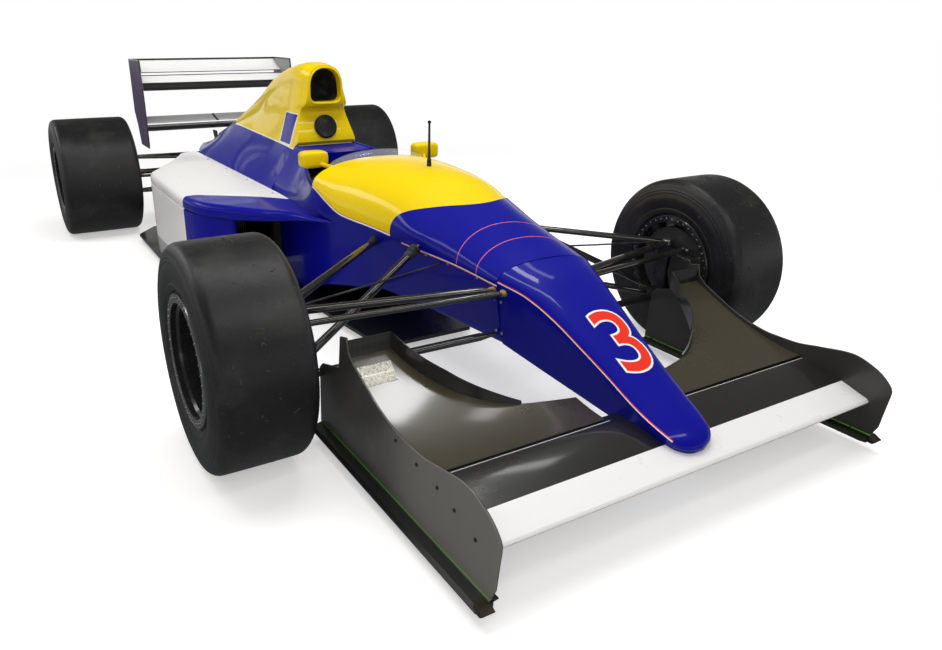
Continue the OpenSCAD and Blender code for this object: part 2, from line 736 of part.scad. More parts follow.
module right_front_upright() { color("silver") car_frame() mirror([1, 0, 0]) front_upright(); }

// ---- wheels, drawn about the X axis with the outer face towards +X ----

module along_axle(x, y, z) { translate([x, y, z]) rotate([0, 90, 0]) children(); }

module rim(inner_w) {
  r = rim_d / 2;
  w = inner_w / 2;
  rotate_extrude($fn = 96) polygon([
    [r - rim_wall, -w - 10], [r + rim_lip - 3, -w - 10], [r + rim_lip, -w - 7], [r + rim_lip, -w],
    [r, -w], [r, w], [r + rim_lip, w], [r + rim_lip, w + 7], [r + rim_lip - 3, w + 10],
    [r - rim_wall, w + 10]]);
  difference() {
    rotate_extrude($fn = 96) polygon([
      [0, 0], [60, 0], [r - rim_wall + 1, 6], [r - rim_wall + 1, 22], [70, 34], [52, 40], [52, 62], [0, 62]]);
    translate([0, 0, -1]) cylinder(r = stub_d / 2 + running_gap, h = 80);
  }
}

module tyre(d, w, inner_w) {
  r = rim_d / 2 + seat_gap;
  bead = inner_w / 2 - seat_gap;
  lip = rim_d / 2 + rim_lip + 4;
  shoulder = 34;
  rotate_extrude($fn = 128) polygon(concat(
    [[r, -bead], [lip, -bead], [lip + 18, -w / 2 + 8], [lip + 40, -w / 2]],
    [for (a = [0 : 15 : 90]) [d / 2 - shoulder + shoulder * sin(a), -w / 2 + shoulder - shoulder * cos(a)]],
    [for (a = [90 : -15 : 0]) [d / 2 - shoulder + shoulder * sin(a), w / 2 - shoulder + shoulder * cos(a)]],
    [[lip + 40, w / 2], [lip + 18, w / 2 - 8], [lip, bead], [r, bead]]));
}

front_inner_w = front_tyre_w - 36;
rear_inner_w = rear_tyre_w - 44;

module front_rim() { along_axle(front_track / 2, 0, front_axle_z) rim(front_inner_w); }

module front_tyre() {
  along_axle(front_track / 2, 0, front_axle_z) tyre(front_tyre_d, front_tyre_w, front_inner_w);
}

module rear_rim() { along_axle(rear_track / 2, wheelbase, rear_axle_z) rim(rear_inner_w); }

module rear_tyre() {
  along_axle(rear_track / 2, wheelbase, rear_axle_z) tyre(rear_tyre_d, rear_tyre_w, rear_inner_w);
}

module left_front_rim() { color("black") car_frame() front_rim(); }

module right_front_rim() { color("black") car_frame() mirror([1, 0, 0]) front_rim(); }

module left_front_tyre() { color("darkslategray") car_frame() front_tyre(); }

module right_front_tyre() { color("darkslategray") car_frame() mirror([1, 0, 0]) front_tyre(); }

module left_rear_rim() { color("black") car_frame() rear_rim(); }

module right_rear_rim() { color("black") car_frame() mirror([1, 0, 0]) rear_rim(); }

module left_rear_tyre() { color("darkslategray") car_frame() rear_tyre(); }

module right_rear_tyre() { color("darkslategray") car_frame() mirror([1, 0, 0]) rear_tyre(); }

// ---- rear suspension ----

module rear_wishbones() {
  outer = rear_king_x - 20;
  color("dimgray") car_frame() both_sides() difference() {
    union() {
      for (y = [-130, 80]) rod([rear_king_x, wheelbase - 30, 430], [80, wheelbase + y, 405], tube_r);
      for (y = [-120, 90]) rod([rear_king_x, wheelbase, 218], [80, wheelbase + y, 218], tube_r);
      rod([rear_king_x, wheelbase + 44, 300], [80, wheelbase + 112, 275], tube_r);
    }
    translate([0, wheelbase - 300, 0]) cube([rear_mount_x, 600, 600]);
    translate([outer, wheelbase - 300, 0]) cube([200, 600, 600]);
  }
}

upright_bearing_r = 26;

module rear_uprights() {
  color("silver") car_frame() both_sides() difference() {
    translate([rear_king_x - 20, wheelbase - 50, 205]) cube([44, 110, 245]);
    along_axle(rear_king_x - 60, wheelbase, rear_axle_z) cylinder(r = upright_bearing_r + running_gap, h = 120);
  }
}

// Each shaft turns with its wheel and is the wheel's axle as well
module drive_shaft() {
  in_x = rear_mount_x - 40;
  bearing_x = rear_king_x - 26;
  along_axle(in_x, wheelbase, rear_axle_z) cylinder(r = shaft_r, h = bearing_x - in_x + 1);
  along_axle(bearing_x, wheelbase, rear_axle_z) cylinder(r = upright_bearing_r, h = 60);
  along_axle(bearing_x, wheelbase, rear_axle_z) cylinder(r = stub_d / 2, h = rear_track / 2 + 46 - bearing_x);
}

module left_drive_shaft() { color("gray") car_frame() drive_shaft(); }

module right_drive_shaft() { color("gray") car_frame() mirror([1, 0, 0]) drive_shaft(); }

nose_cone();
monocoque();
suspension_cover();
cockpit_cowl();
windscreen();
driver_seat();
headrest();
steering_wheel();
steering_column();
engine_cover();
engine_block();
gearbox();
rain_light();
left_sidepod();
right_sidepod();
radiators();
floor_panel();
diffuser();
front_wing();
front_flaps();
front_endplates();
rear_wing();
beam_wing();
rear_endplates();
rear_wing_posts();
mirrors();
antenna();
front_wishbones();
front_pushrods();
track_rods();
left_front_upright();
right_front_upright();
left_front_rim();
right_front_rim();
left_front_tyre();
right_front_tyre();
rear_wishbones();
rear_uprights();
left_drive_shaft();
right_drive_shaft();
left_rear_rim();
right_rear_rim();
left_rear_tyre();
right_rear_tyre();
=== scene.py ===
import math
import bpy
import bmesh
import numpy as np
from mathutils import Matrix, Vector
from mathutils.bvhtree import BVHTree

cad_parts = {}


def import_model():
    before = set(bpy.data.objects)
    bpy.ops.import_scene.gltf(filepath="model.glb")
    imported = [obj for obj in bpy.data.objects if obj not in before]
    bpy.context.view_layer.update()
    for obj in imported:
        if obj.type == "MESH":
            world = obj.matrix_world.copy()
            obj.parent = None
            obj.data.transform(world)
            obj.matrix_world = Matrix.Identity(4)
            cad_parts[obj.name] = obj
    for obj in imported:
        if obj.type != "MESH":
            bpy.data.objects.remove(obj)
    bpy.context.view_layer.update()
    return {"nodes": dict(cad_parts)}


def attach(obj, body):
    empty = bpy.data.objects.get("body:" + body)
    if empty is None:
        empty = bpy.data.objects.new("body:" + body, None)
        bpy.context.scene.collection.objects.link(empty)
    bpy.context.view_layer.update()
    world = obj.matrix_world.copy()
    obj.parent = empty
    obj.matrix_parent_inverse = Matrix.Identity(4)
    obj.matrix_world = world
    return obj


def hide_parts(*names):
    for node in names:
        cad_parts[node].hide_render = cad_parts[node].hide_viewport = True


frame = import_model()

# Lengths below are millimetres, measured back from the front axle and up from the floor.
FRONT_AXLE_Y = -1248.0
WHEELBASE = 2921.0
FRONT_TRACK, REAR_TRACK = 1803.0, 1676.0
FRONT_TYRE_D, REAR_TYRE_D = 632.0, 660.0
FRONT_HUB_Z, REAR_HUB_Z = FRONT_TYRE_D / 2, REAR_TYRE_D / 2
INTAKE_H = 1004.0
DECK_Z = 455.0
FLOOR_Z = 45.0
JOINT_Y, COWL_FRONT, COWL_REAR = -210.0, 200.0, 860.0
FIREWALL_Y, COVER_END = 1420.0, WHEELBASE + 157
RIM_D = 330.0


# ---------------------------------------------------------------- geometry helpers

def smooth_curve(xs, ys):
    """Curve through the points that never swings past them."""
    xs, ys = np.array(xs, float), np.array(ys, float)
    h = np.diff(xs)
    d = np.diff(ys) / h
    m = np.zeros(len(xs))
    m[0], m[-1] = d[0], d[-1]
    for i in range(1, len(xs) - 1):
        if d[i - 1] * d[i] > 0:
            a, b = 2 * h[i] + h[i - 1], h[i] + 2 * h[i - 1]
            m[i] = (a + b) / (a / d[i - 1] + b / d[i])

    def f(x):
        x = min(max(x, xs[0]), xs[-1])
        i = min(max(int(np.searchsorted(xs, x)) - 1, 0), len(h) - 1)
        t = (x - xs[i]) / h[i]
        return float((2 * t ** 3 - 3 * t ** 2 + 1) * ys[i] + (t ** 3 - 2 * t ** 2 + t) * h[i] * m[i]
                     + (3 * t ** 2 - 2 * t ** 3) * ys[i + 1] + (t ** 3 - t ** 2) * h[i] * m[i + 1])
    return f


def laws(rows):
    """One smooth curve for each column of a table of stations."""
    return [smooth_curve([r[0] for r in rows], [r[k] for r in rows]) for k in range(1, len(rows[0]))]


def spaced(a, b, step):
    """Even stations from a to b, about a step apart."""
    return np.linspace(a, b, max(2, int(round(abs(b - a) / step)) + 1))


def bell(t):
    return math.exp(-t * t)


def frame_y(y):
    """Place along the car in the frame's metres."""
    return (y + FRONT_AXLE_Y) / 1000


def to_frame(points):
    """Points in the script's millimetres as metres in the frame."""
    p = np.array(points, float)
    p[:, 1] += FRONT_AXLE_Y
    return p / 1000.0


def make_mesh(name, points, faces, smooth, recalc=True, uv=None):
    """Object with shaded faces, its edges kept sharp above an angle, and a map of its own if it's given."""
    me = bpy.data.meshes.new(name)
    me.from_pydata([tuple(p) for p in to_frame(points)], [], [tuple(int(i) for i in f) for f in faces])
    me.validate()
    if uv is not None:
        layer = me.uv_layers.new(name="run")
        index = np.zeros(len(me.loops), np.int32)
        me.loops.foreach_get("vertex_index", index)
        layer.data.foreach_set("uv", np.array(uv, np.float32)[index].ravel())
    if recalc:
        bm = bmesh.new()
        bm.from_mesh(me)
        bmesh.ops.recalc_face_normals(bm, faces=bm.faces)
        bm.to_mesh(me)
        bm.free()
    me.shade_smooth()
    me.set_sharp_from_angle(angle=math.radians(smooth))
    ob = bpy.data.objects.new(name, me)
    bpy.context.scene.collection.objects.link(ob)
    return ob


def finish_piece(ob, material, body="root", replaces=()):
    """Gives a piece its material, hangs it on its body and hides the CAD nodes it stands for."""
    if material is not None:
        ob.data.materials.clear()
        ob.data.materials.append(material)
    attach(ob, body)
    for node in replaces:
        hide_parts(node)
    return ob


def skin(n, m):
    """Four-sided faces between m rings of n points each."""
    faces = []
    for j in range(m - 1):
        for i in range(n):
            a, b = j * n + i, j * n + (i + 1) % n
            faces.append((a, b, b + n, a + n))
    return faces


def loft(name, rings, caps=True, smooth=32, uv=None):
    """Skin over closed rings of equal count, one after another, with flat ends."""
    n, m = len(rings[0]), len(rings)
    faces = skin(n, m)
    if caps:
        faces += [tuple(range(n)), tuple(range((m - 1) * n, m * n))]
    return make_mesh(name, np.concatenate(rings), faces, smooth, uv=uv)


def wall_loft(name, rings, smooth, uv=None):
    """Rings run out along the skin and back along the lining; the ends are closed wall by wall."""
    n, m = len(rings[0]), len(rings)
    faces = skin(n, m)
    for base in (0, (m - 1) * n):
        for i in range(n // 2 - 1):
            faces.append((base + i, base + i + 1, base + n - 2 - i, base + n - 1 - i))
    return make_mesh(name, np.concatenate(rings), faces, smooth, uv=uv)


def bevel(ob, width, segments, angle=35):
    """Rounds the edges sharper than an angle."""
    mod = ob.modifiers.new("edge", "BEVEL")
    mod.width = width / 1000
    mod.segments = segments
    mod.limit_method = "ANGLE"
    mod.angle_limit = math.radians(angle)
    mod.harden_normals = False
    return ob


def baked(ob):
    """Turns an object's modifiers into plain mesh."""
    graph = bpy.context.evaluated_depsgraph_get()
    me = bpy.data.meshes.new_from_object(ob.evaluated_get(graph))
    ob.modifiers.clear()
    ob.data = me
    return ob


def mirrored(ob, name):
    """The same shape on the other side of the car."""
    me = ob.data.copy()
    me.transform(Matrix.Scale(-1, 4, (1, 0, 0)))
    me.flip_normals()
    twin = bpy.data.objects.new(name, me)
    bpy.context.scene.collection.objects.link(twin)
    return twin


def prism(name, outline, x0, x1, smooth=32):
    """Side-view outline of (y, z) points, carried across the car from x0 to x1."""
    n = len(outline)
    pts = [(x, p[0], p[1]) for x in (x0, x1) for p in outline]
    faces = skin(n, 2) + [tuple(range(n)), tuple(range(n, 2 * n))]
    return make_mesh(name, pts, faces, smooth)


def tube(name, points, radii, sides=20, flat=1.0, across=(0, 0, 1)):
    """Round or oval bar along a path, closed at both ends."""
    pts = [np.array(p, float) for p in points]
    if not hasattr(radii, "__len__"):
        radii = [radii] * len(pts)
    rings = []
    ref = np.array(across, float)
    for i, p in enumerate(pts):
        t = pts[min(i + 1, len(pts) - 1)] - pts[max(i - 1, 0)]
        t /= np.linalg.norm(t)
        u = ref - t * (ref @ t)
        if np.linalg.norm(u) < 1e-3:
            u = np.array([1.0, 0, 0]) - t * t[0]
        u /= np.linalg.norm(u)
        v = np.cross(t, u)
        rings.append([p + radii[i] * (flat * math.cos(a) * u + math.sin(a) * v)
                      for a in np.linspace(0, 2 * math.pi, sides, endpoint=False)])
    return loft(name, np.array(rings), smooth=40)


def turned(name, profile, centre, axis=(1, 0, 0), steps=64, smooth=32, closed=True):
    """Profile of (radius, distance along the axis) points turned about an axis through centre."""
    axis = Vector(axis).normalized()
    u = axis.orthogonal().normalized()
    v = axis.cross(u)
    n = len(profile)
    pts, faces = [], []
    for a in np.linspace(0, 2 * math.pi, steps, endpoint=False):
        d = u * math.cos(a) + v * math.sin(a)
        pts += [Vector(centre) + d * r + axis * h for r, h in profile]
    for j in range(steps):
        k = (j + 1) % steps
        for i in range(n if closed else n - 1):
            i2 = (i + 1) % n
            faces.append((j * n + i, k * n + i, k * n + i2, j * n + i2))
    ob = make_mesh(name, pts, faces, smooth, recalc=False)
    bm = bmesh.new()
    bm.from_mesh(ob.data)
    bmesh.ops.remove_doubles(bm, verts=bm.verts, dist=1e-6)
    bmesh.ops.dissolve_degenerate(bm, edges=bm.edges, dist=1e-6)
    bmesh.ops.recalc_face_normals(bm, faces=bm.faces)
    bm.to_mesh(ob.data)
    bm.free()
    ob.data.shade_smooth()
    ob.data.set_sharp_from_angle(angle=math.radians(smooth))
    return ob


# ---------------------------------------------------------------- material helpers

class Finish:
    """A material under construction: its node tree and short names for its nodes."""

    def __init__(self, name):
        self.mat = bpy.data.materials.new(name)
        self.mat.use_nodes = True
        self.tree = self.mat.node_tree
        self.shader = self.tree.nodes["Principled BSDF"]
        self.coords = self.tree.nodes.new("ShaderNodeTexCoord")
        self._xyz = None

    def new(self, kind, **sets):
        node = self.tree.nodes.new(kind)
        for key, value in sets.items():
            setattr(node, key, value)
        return node

    def put(self, socket, value):
        if hasattr(value, "is_output"):
            self.tree.links.new(value, socket)
        else:
            socket.default_value = value

    def xyz(self):
        """Place on the object: metres in the car's frame."""
        if self._xyz is None:
            node = self.new("ShaderNodeSeparateXYZ")
            self.tree.links.new(self.coords.outputs["Object"], node.inputs[0])
            self._xyz = node.outputs
        return self._xyz

    def run(self):
        """The piece's own map: distance from its guiding edge, and along the car, in metres."""
        node = self.new("ShaderNodeUVMap", uv_map="run")
        split = self.new("ShaderNodeSeparateXYZ")
        self.tree.links.new(node.outputs[0], split.inputs[0])
        return split.outputs

    def math(self, operation, a, b=0.0, c=0.0, clamp=False):
        node = self.new("ShaderNodeMath", operation=operation, use_clamp=clamp)
        self.put(node.inputs[0], a)
        self.put(node.inputs[1], b)
        if len(node.inputs) > 2:
            self.put(node.inputs[2], c)
        return node.outputs[0]

    def above(self, a, b):
        return self.math("GREATER_THAN", a, b)

    def between(self, a, low, high):
        return self.math("MULTIPLY", self.above(a, low), self.above(high, a))

    def both(self, a, b):
        return self.math("MULTIPLY", a, b)

    def either(self, a, b):
        return self.math("MAXIMUM", a, b)

    def curve(self, x, points):
        """Piecewise law y(x) for a boundary, both in metres."""
        xs, ys = [p[0] for p in points], [p[1] for p in points]
        x0, x1, y0, y1 = min(xs), max(xs), min(ys), max(ys)
        node = self.new("ShaderNodeFloatCurve")
        line = node.mapping.curves[0].points
        while len(line) < len(points):
            line.new(0.5, 0.5)
        for dot, (px, py) in zip(line, points):
            dot.location = ((px - x0) / (x1 - x0), (py - y0) / max(y1 - y0, 1e-9))
            dot.handle_type = "AUTO_CLAMPED"
        node.mapping.update()
        t = self.math("DIVIDE", self.math("SUBTRACT", x, x0), x1 - x0, clamp=True)
        self.put(node.inputs["Value"], t)
        return self.math("MULTIPLY_ADD", node.outputs[0], y1 - y0, y0)

    def mix(self, factor, a, b):
        node = self.new("ShaderNodeMix", data_type="RGBA")
        self.put(node.inputs["Factor"], factor)
        self.put(node.inputs["A"], a if hasattr(a, "is_output") else (*a, 1))
        self.put(node.inputs["B"], b if hasattr(b, "is_output") else (*b, 1))
        return node.outputs["Result"]

    def blend(self, factor, a, b):
        node = self.new("ShaderNodeMix", data_type="FLOAT")
        self.put(node.inputs["Factor"], factor)
        self.put(node.inputs["A"], a)
        self.put(node.inputs["B"], b)
        return node.outputs["Result"]

    def noise(self, scale, detail=3, rough=0.5, stretch=None, seed=0.0):
        node = self.new("ShaderNodeTexNoise")
        vector = self.coords.outputs["Object"]
        if stretch or seed:
            place = self.new("ShaderNodeMapping")
            place.inputs["Scale"].default_value = stretch or (1, 1, 1)
            place.inputs["Location"].default_value = (seed, seed * 0.7, seed * 1.3)
            self.tree.links.new(vector, place.inputs["Vector"])
            vector = place.outputs[0]
        self.tree.links.new(vector, node.inputs["Vector"])
        node.inputs["Scale"].default_value = scale
        node.inputs["Detail"].default_value = detail
        node.inputs["Roughness"].default_value = rough
        return node.outputs["Fac"]

    def range(self, value, low, high):
        """Soft step from 0 at low to 1 at high."""
        node = self.new("ShaderNodeMapRange", interpolation_type="SMOOTHSTEP")
        for key, v in (("Value", value), ("From Min", low), ("From Max", high)):
            self.put(node.inputs[key], v)
        return node.outputs[0]

    def bump(self, height, strength, distance=0.001, normal=None):
        node = self.new("ShaderNodeBump")
        node.inputs["Strength"].default_value = strength
        node.inputs["Distance"].default_value = distance
        self.put(node.inputs["Height"], height)
        if normal is not None:
            self.tree.links.new(normal, node.inputs["Normal"])
        return node.outputs[0]

    def done(self, color, rough=0.4, metal=0.0, normal=None, **named):
        s = self.shader.inputs
        self.put(s["Base Color"], color if hasattr(color, "is_output") else (*color, 1))
        self.put(s["Roughness"], rough)
        self.put(s["Metallic"], metal)
        if normal is not None:
            self.tree.links.new(normal, s["Normal"])
        for key, value in named.items():
            s[key.replace("_", " ")].default_value = value
        return self.mat


BLUE = (0.0025, 0.0035, 0.250)
YELLOW = (0.84, 0.60, 0.001)
WHITE = (0.84, 0.83, 0.80)
RED = (0.78, 0.035, 0.015)
PINK = (0.75, 0.16, 0.17)
COAT = dict(Coat_Weight=0.42, Coat_Roughness=0.05, Coat_IOR=1.45, Specular_IOR_Level=0.08)


def lacquer(g, color, dust=0.10):
    """Gloss paint under clear lacquer: faint ripple, dust in the lacquer and small chips."""
    ripple = g.noise(7, 2, 0.5)
    fine = g.noise(700, 2, 0.5)
    rough = g.blend(g.noise(9, 4, 0.6, seed=3.0), 0.26, 0.32)
    specks = g.range(g.noise(520, 1, 0.4, seed=7.0), 0.78, 0.84)
    tint = g.mix(g.both(g.noise(3, 2, 0.5, seed=5.0), dust * 0.10), color, (0.30, 0.28, 0.27))
    tint = g.mix(g.both(specks, 0.03), tint, (0.60, 0.59, 0.56))
    normal = g.bump(ripple, 0.02, 0.0006, g.bump(fine, 0.02, 0.0001))
    return g.done(tint, rough, normal=normal, **COAT)


def plain_paint(name, color, dust=0.06):
    return lacquer(Finish(name), color, dust)


# ---------------------------------------------------------------- repeated details by Geometry Nodes

def node_tree(name, sizes):
    """Empty Geometry Nodes tree with a geometry input and the named sizes; returns its parts."""
    tree = bpy.data.node_groups.new(name, "GeometryNodeTree")
    tree.interface.new_socket("Geometry", in_out="INPUT", socket_type="NodeSocketGeometry")
    for label, kind in sizes:
        tree.interface.new_socket(label, in_out="INPUT", socket_type=kind)
    tree.interface.new_socket("Geometry", in_out="OUTPUT", socket_type="NodeSocketGeometry")
    return tree, tree.nodes.new("NodeGroupInput"), tree.nodes.new("NodeGroupOutput")


def end_tree(tree, out, geometry, material):
    real = tree.nodes.new("GeometryNodeRealizeInstances")
    finish = tree.nodes.new("GeometryNodeSetMaterial")
    finish.inputs["Material"].default_value = material
    tree.links.new(geometry, real.inputs[0])
    tree.links.new(real.outputs[0], finish.inputs[0])
    tree.links.new(finish.outputs[0], out.inputs[0])


def grown(name, seed_mesh, tree, values):
    """Runs a tree on a mesh and keeps the result as a plain mesh at the origin."""
    ob = bpy.data.objects.new(name, seed_mesh)
    bpy.context.scene.collection.objects.link(ob)
    mod = ob.modifiers.new("grow", "NODES")
    mod.node_group = tree
    for item in tree.interface.items_tree:
        if item.item_type == "SOCKET" and item.in_out == "INPUT" and item.name in values:
            mod[item.identifier] = values[item.name]
    baked(ob)
    ob.data.shade_smooth()
    ob.data.set_sharp_from_angle(angle=math.radians(30))
    return ob


def stud_tree(material):
    """A chamfered cap screw on every point, its axis along the point's own facing."""
    sizes = (("Radius", "NodeSocketFloat"), ("Height", "NodeSocketFloat"), ("Sides", "NodeSocketInt"))
    tree, source, out = node_tree("studs_" + material.name, sizes)
    cone = tree.nodes.new("GeometryNodeMeshCone")
    place = tree.nodes.new("GeometryNodeInstanceOnPoints")
    turn = tree.nodes.new("FunctionNodeAlignRotationToVector")
    facing = tree.nodes.new("GeometryNodeInputNamedAttribute")
    facing.data_type = "FLOAT_VECTOR"
    facing.inputs["Name"].default_value = "facing"
    crown = tree.nodes.new("ShaderNodeMath")
    crown.operation = "MULTIPLY"
    crown.inputs[1].default_value = 0.72
    link = tree.links.new
    link(source.outputs["Radius"], cone.inputs["Radius Bottom"])
    link(source.outputs["Radius"], crown.inputs[0])
    link(crown.outputs[0], cone.inputs["Radius Top"])
    link(source.outputs["Height"], cone.inputs["Depth"])
    link(source.outputs["Sides"], cone.inputs["Vertices"])
    turn.axis = "Z"
    link(facing.outputs["Attribute"], turn.inputs["Vector"])
    link(source.outputs["Geometry"], place.inputs["Points"])
    link(cone.outputs["Mesh"], place.inputs["Instance"])
    link(turn.outputs[0], place.inputs["Rotation"])
    end_tree(tree, out, place.outputs[0], material)
    return tree


def seeds(name, places, facings):
    me = bpy.data.meshes.new(name)
    me.from_pydata([tuple(p) for p in to_frame(places)], [], [])
    layer = me.attributes.new("facing", "FLOAT_VECTOR", "POINT")
    layer.data.foreach_set("vector", np.array(facings, np.float32).ravel())
    return me


def studs(name, places, facings, radius, height, material, body="root", sides=12):
    tree = stud_tree(material)
    ob = grown(name, seeds(name, places, facings), tree,
               {"Radius": radius / 1000, "Height": height / 1000, "Sides": sides})
    return finish_piece(ob, None, body)


def ring_tree(material):
    """The given shape repeated around the X axis through its own centre."""
    sizes = (("Count", "NodeSocketInt"), ("Centre", "NodeSocketVector"))
    tree, source, out = node_tree("ring_" + material.name, sizes)
    points = tree.nodes.new("GeometryNodeMeshLine")
    index = tree.nodes.new("GeometryNodeInputIndex")
    step = tree.nodes.new("ShaderNodeMath")
    step.operation = "DIVIDE"
    angle = tree.nodes.new("ShaderNodeMath")
    angle.operation = "MULTIPLY"
    angle.inputs[1].default_value = 2 * math.pi
    spin = tree.nodes.new("ShaderNodeCombineXYZ")
    place = tree.nodes.new("GeometryNodeInstanceOnPoints")
    shift = tree.nodes.new("GeometryNodeTransform")
    link = tree.links.new
    link(source.outputs["Count"], points.inputs["Count"])
    points.inputs["Offset"].default_value = (0, 0, 0)
    link(index.outputs[0], step.inputs[0])
    link(source.outputs["Count"], step.inputs[1])
    link(step.outputs[0], angle.inputs[0])
    link(angle.outputs[0], spin.inputs[0])
    link(points.outputs[0], place.inputs["Points"])
    link(source.outputs["Geometry"], place.inputs["Instance"])
    link(spin.outputs[0], place.inputs["Rotation"])
    link(place.outputs[0], shift.inputs["Geometry"])
    link(source.outputs["Centre"], shift.inputs["Translation"])
    end_tree(tree, out, shift.outputs[0], material)
    return tree


def ring_of(name, part, count, centre, material, body, replaces=()):
    """Repeats a part, modelled about the origin, around a wheel's centre."""
    me = part.data
    me.transform(Matrix.Translation((0, -FRONT_AXLE_Y / 1000, 0)))
    bpy.data.objects.remove(part)
    x, y, z = (v / 1000 for v in centre)
    ob = grown(name, me, ring_tree(material), {"Count": count, "Centre": (x, y + FRONT_AXLE_Y / 1000, z)})
    return finish_piece(ob, None, body, replaces)


def slat_tree(material):
    """A row of the given slat, stepped along a vector."""
    sizes = (("Count", "NodeSocketInt"), ("Step", "NodeSocketVector"))
    tree, source, out = node_tree("slats_" + material.name, sizes)
    line = tree.nodes.new("GeometryNodeMeshLine")
    place = tree.nodes.new("GeometryNodeInstanceOnPoints")
    tree.links.new(source.outputs["Count"], line.inputs["Count"])
    tree.links.new(source.outputs["Step"], line.inputs["Offset"])
    tree.links.new(line.outputs[0], place.inputs["Points"])
    tree.links.new(source.outputs["Geometry"], place.inputs["Instance"])
    end_tree(tree, out, place.outputs[0], material)
    return tree


def slats(name, part, count, step, material):
    """Repeats a part where it stands, each copy one step further on."""
    me = part.data
    bpy.data.objects.remove(part)
    ob = grown(name, me, slat_tree(material), {"Count": count, "Step": tuple(v / 1000 for v in step)})
    return finish_piece(ob, None)


# ---------------------------------------------------------------- finishes

def nose_paint():
    g = Finish("nose_paint")
    run = g.run()
    shown = g.above(run[1], frame_y(-806))
    color = g.mix(g.both(shown, g.between(run[0], 0.0045, 0.0075)), BLUE, WHITE)
    color = g.mix(g.both(shown, g.between(run[0], 0.0075, 0.0105)), color, RED)
    return lacquer(g, color)


def tub_paint():
    g = Finish("tub_paint")
    run = g.run()
    ahead = g.above(frame_y(COWL_FRONT + 60), run[1])
    color = g.mix(g.both(g.between(run[0], 0.0040, 0.0082), ahead), BLUE, WHITE)
    color = g.mix(g.both(g.between(run[0], 0.0082, 0.0108), ahead), color, RED)
    return lacquer(g, color)


def hump_paint():
    g = Finish("hump_paint")
    x, y, _ = g.xyz()
    place = g.math("ADD", y, g.math("MULTIPLY", g.math("MULTIPLY", x, x), 0.9))
    front, back = (g.between(place, frame_y(at) - 0.0013, frame_y(at) + 0.0013) for at in (-86, 10))
    return lacquer(g, g.mix(g.either(front, back), BLUE, PINK))


def cowl_paint():
    g = Finish("cowl_paint")
    run = g.run()
    color = g.mix(g.above(0.0085, run[0]), YELLOW, RED)
    color = g.mix(g.above(0.0060, run[0]), color, WHITE)
    return lacquer(g, color, 0.04)


def cover_paint():
    g = Finish("cover_paint")
    _, y, z = g.xyz()
    back = FRONT_AXLE_Y / 1000
    line = [(1.40, 0.628), (1.60, 0.632), (2.30, 0.634), (2.70, 0.612)]
    edge = g.curve(y, [(place + back, height) for place, height in line])
    edge = g.math("ADD", edge, g.math("MULTIPLY", g.above(y, 2.69 + back), 0.2))
    color = g.mix(g.above(z, edge), BLUE, YELLOW)
    color = g.mix(g.between(g.math("SUBTRACT", z, edge), -0.0035, 0.0015), color, WHITE)
    # bare blue panel with a white rim on the flank
    lean = g.math("MULTIPLY", g.math("SUBTRACT", z, 0.708), -0.30)
    py = g.math("SUBTRACT", g.math("SUBTRACT", y, 1.546 + back), lean)
    pz = g.math("SUBTRACT", z, 0.708)
    panel = g.both(g.between(py, -0.084, 0.084), g.between(pz, -0.074, 0.074))
    inner = g.both(g.between(py, -0.072, 0.072), g.between(pz, -0.069, 0.069))
    panel, inner = (g.both(part, g.above(y, 1.4525 + back)) for part in (panel, inner))
    color = g.mix(panel, color, WHITE)
    color = g.mix(inner, color, BLUE)
    return lacquer(g, color, 0.05)


def pod_paint():
    g = Finish("pod_paint")
    x, y, z = g.xyz()
    back = FRONT_AXLE_Y / 1000
    side = g.math("ABSOLUTE", x)
    line = [(0.27, 1.155), (0.36, 1.262), (0.454, 1.342), (0.57, 1.425), (0.63, 1.458), (0.68, 1.450)]
    edge = g.curve(side, [(width, place + back) for width, place in line])
    rear = g.above(y, edge)
    color = g.mix(rear, BLUE, WHITE)
    low = g.both(rear, g.above(0.136, z))
    color = g.mix(low, color, (0.42, 0.42, 0.42))
    # painted shade: the walls inside the duct bore are coloured near-black for the shade deep in the inlet
    behind = g.between(y, 1.150 + back, 2.3 + back)
    duct = g.both(g.between(z, 0.1640, DECK_Z / 1000 - 0.0545), g.both(g.above(0.5285, side), behind))
    color = g.mix(duct, color, (0.006, 0.006, 0.007))
    return lacquer(g, color, 0.08)


def carbon(name, tint=(0.018, 0.015, 0.008), band=None, gloss=1.0, pale=(0.066, 0.056, 0.031)):
    """Lacquered twill: diagonal ribs a few millimetres wide over a dark olive-brown ground."""
    g = Finish(name)
    x, y, _ = g.xyz()
    slant = g.math("SUBTRACT", x, g.math("MULTIPLY", y, 0.25))
    a = g.math("SINE", g.math("MULTIPLY", g.math("ADD", x, y), 2 * math.pi / 0.0056))
    b = g.math("SINE", g.math("MULTIPLY", slant, 2 * math.pi / 0.0042))
    weave = g.range(g.both(a, b), -0.6, 0.6)
    cloud = g.noise(3.5, 4, 0.6, seed=2.0)
    color = g.mix(weave, tint, tuple(min(1, 2.3 * c) for c in tint))
    color = g.mix(g.both(cloud, 0.6), color, pale)
    scratch = g.range(g.noise(16, 5, 0.7, stretch=(1, 9, 1), seed=4.0), 0.60, 0.75)
    color = g.mix(g.both(scratch, 0.07), color, (0.22, 0.20, 0.15))
    if band is not None:
        color = band(g, color)
    rough = g.blend(g.noise(7, 4, 0.6, seed=9.0), 0.22, 0.36)
    normal = g.bump(g.noise(9, 2, 0.5), 0.03, 0.002, g.bump(weave, 0.10, 0.0003))
    return g.done(color, rough, normal=normal, Coat_Weight=gloss, Coat_Roughness=0.10, Coat_IOR=1.55,
                  Specular_IOR_Level=0.6)


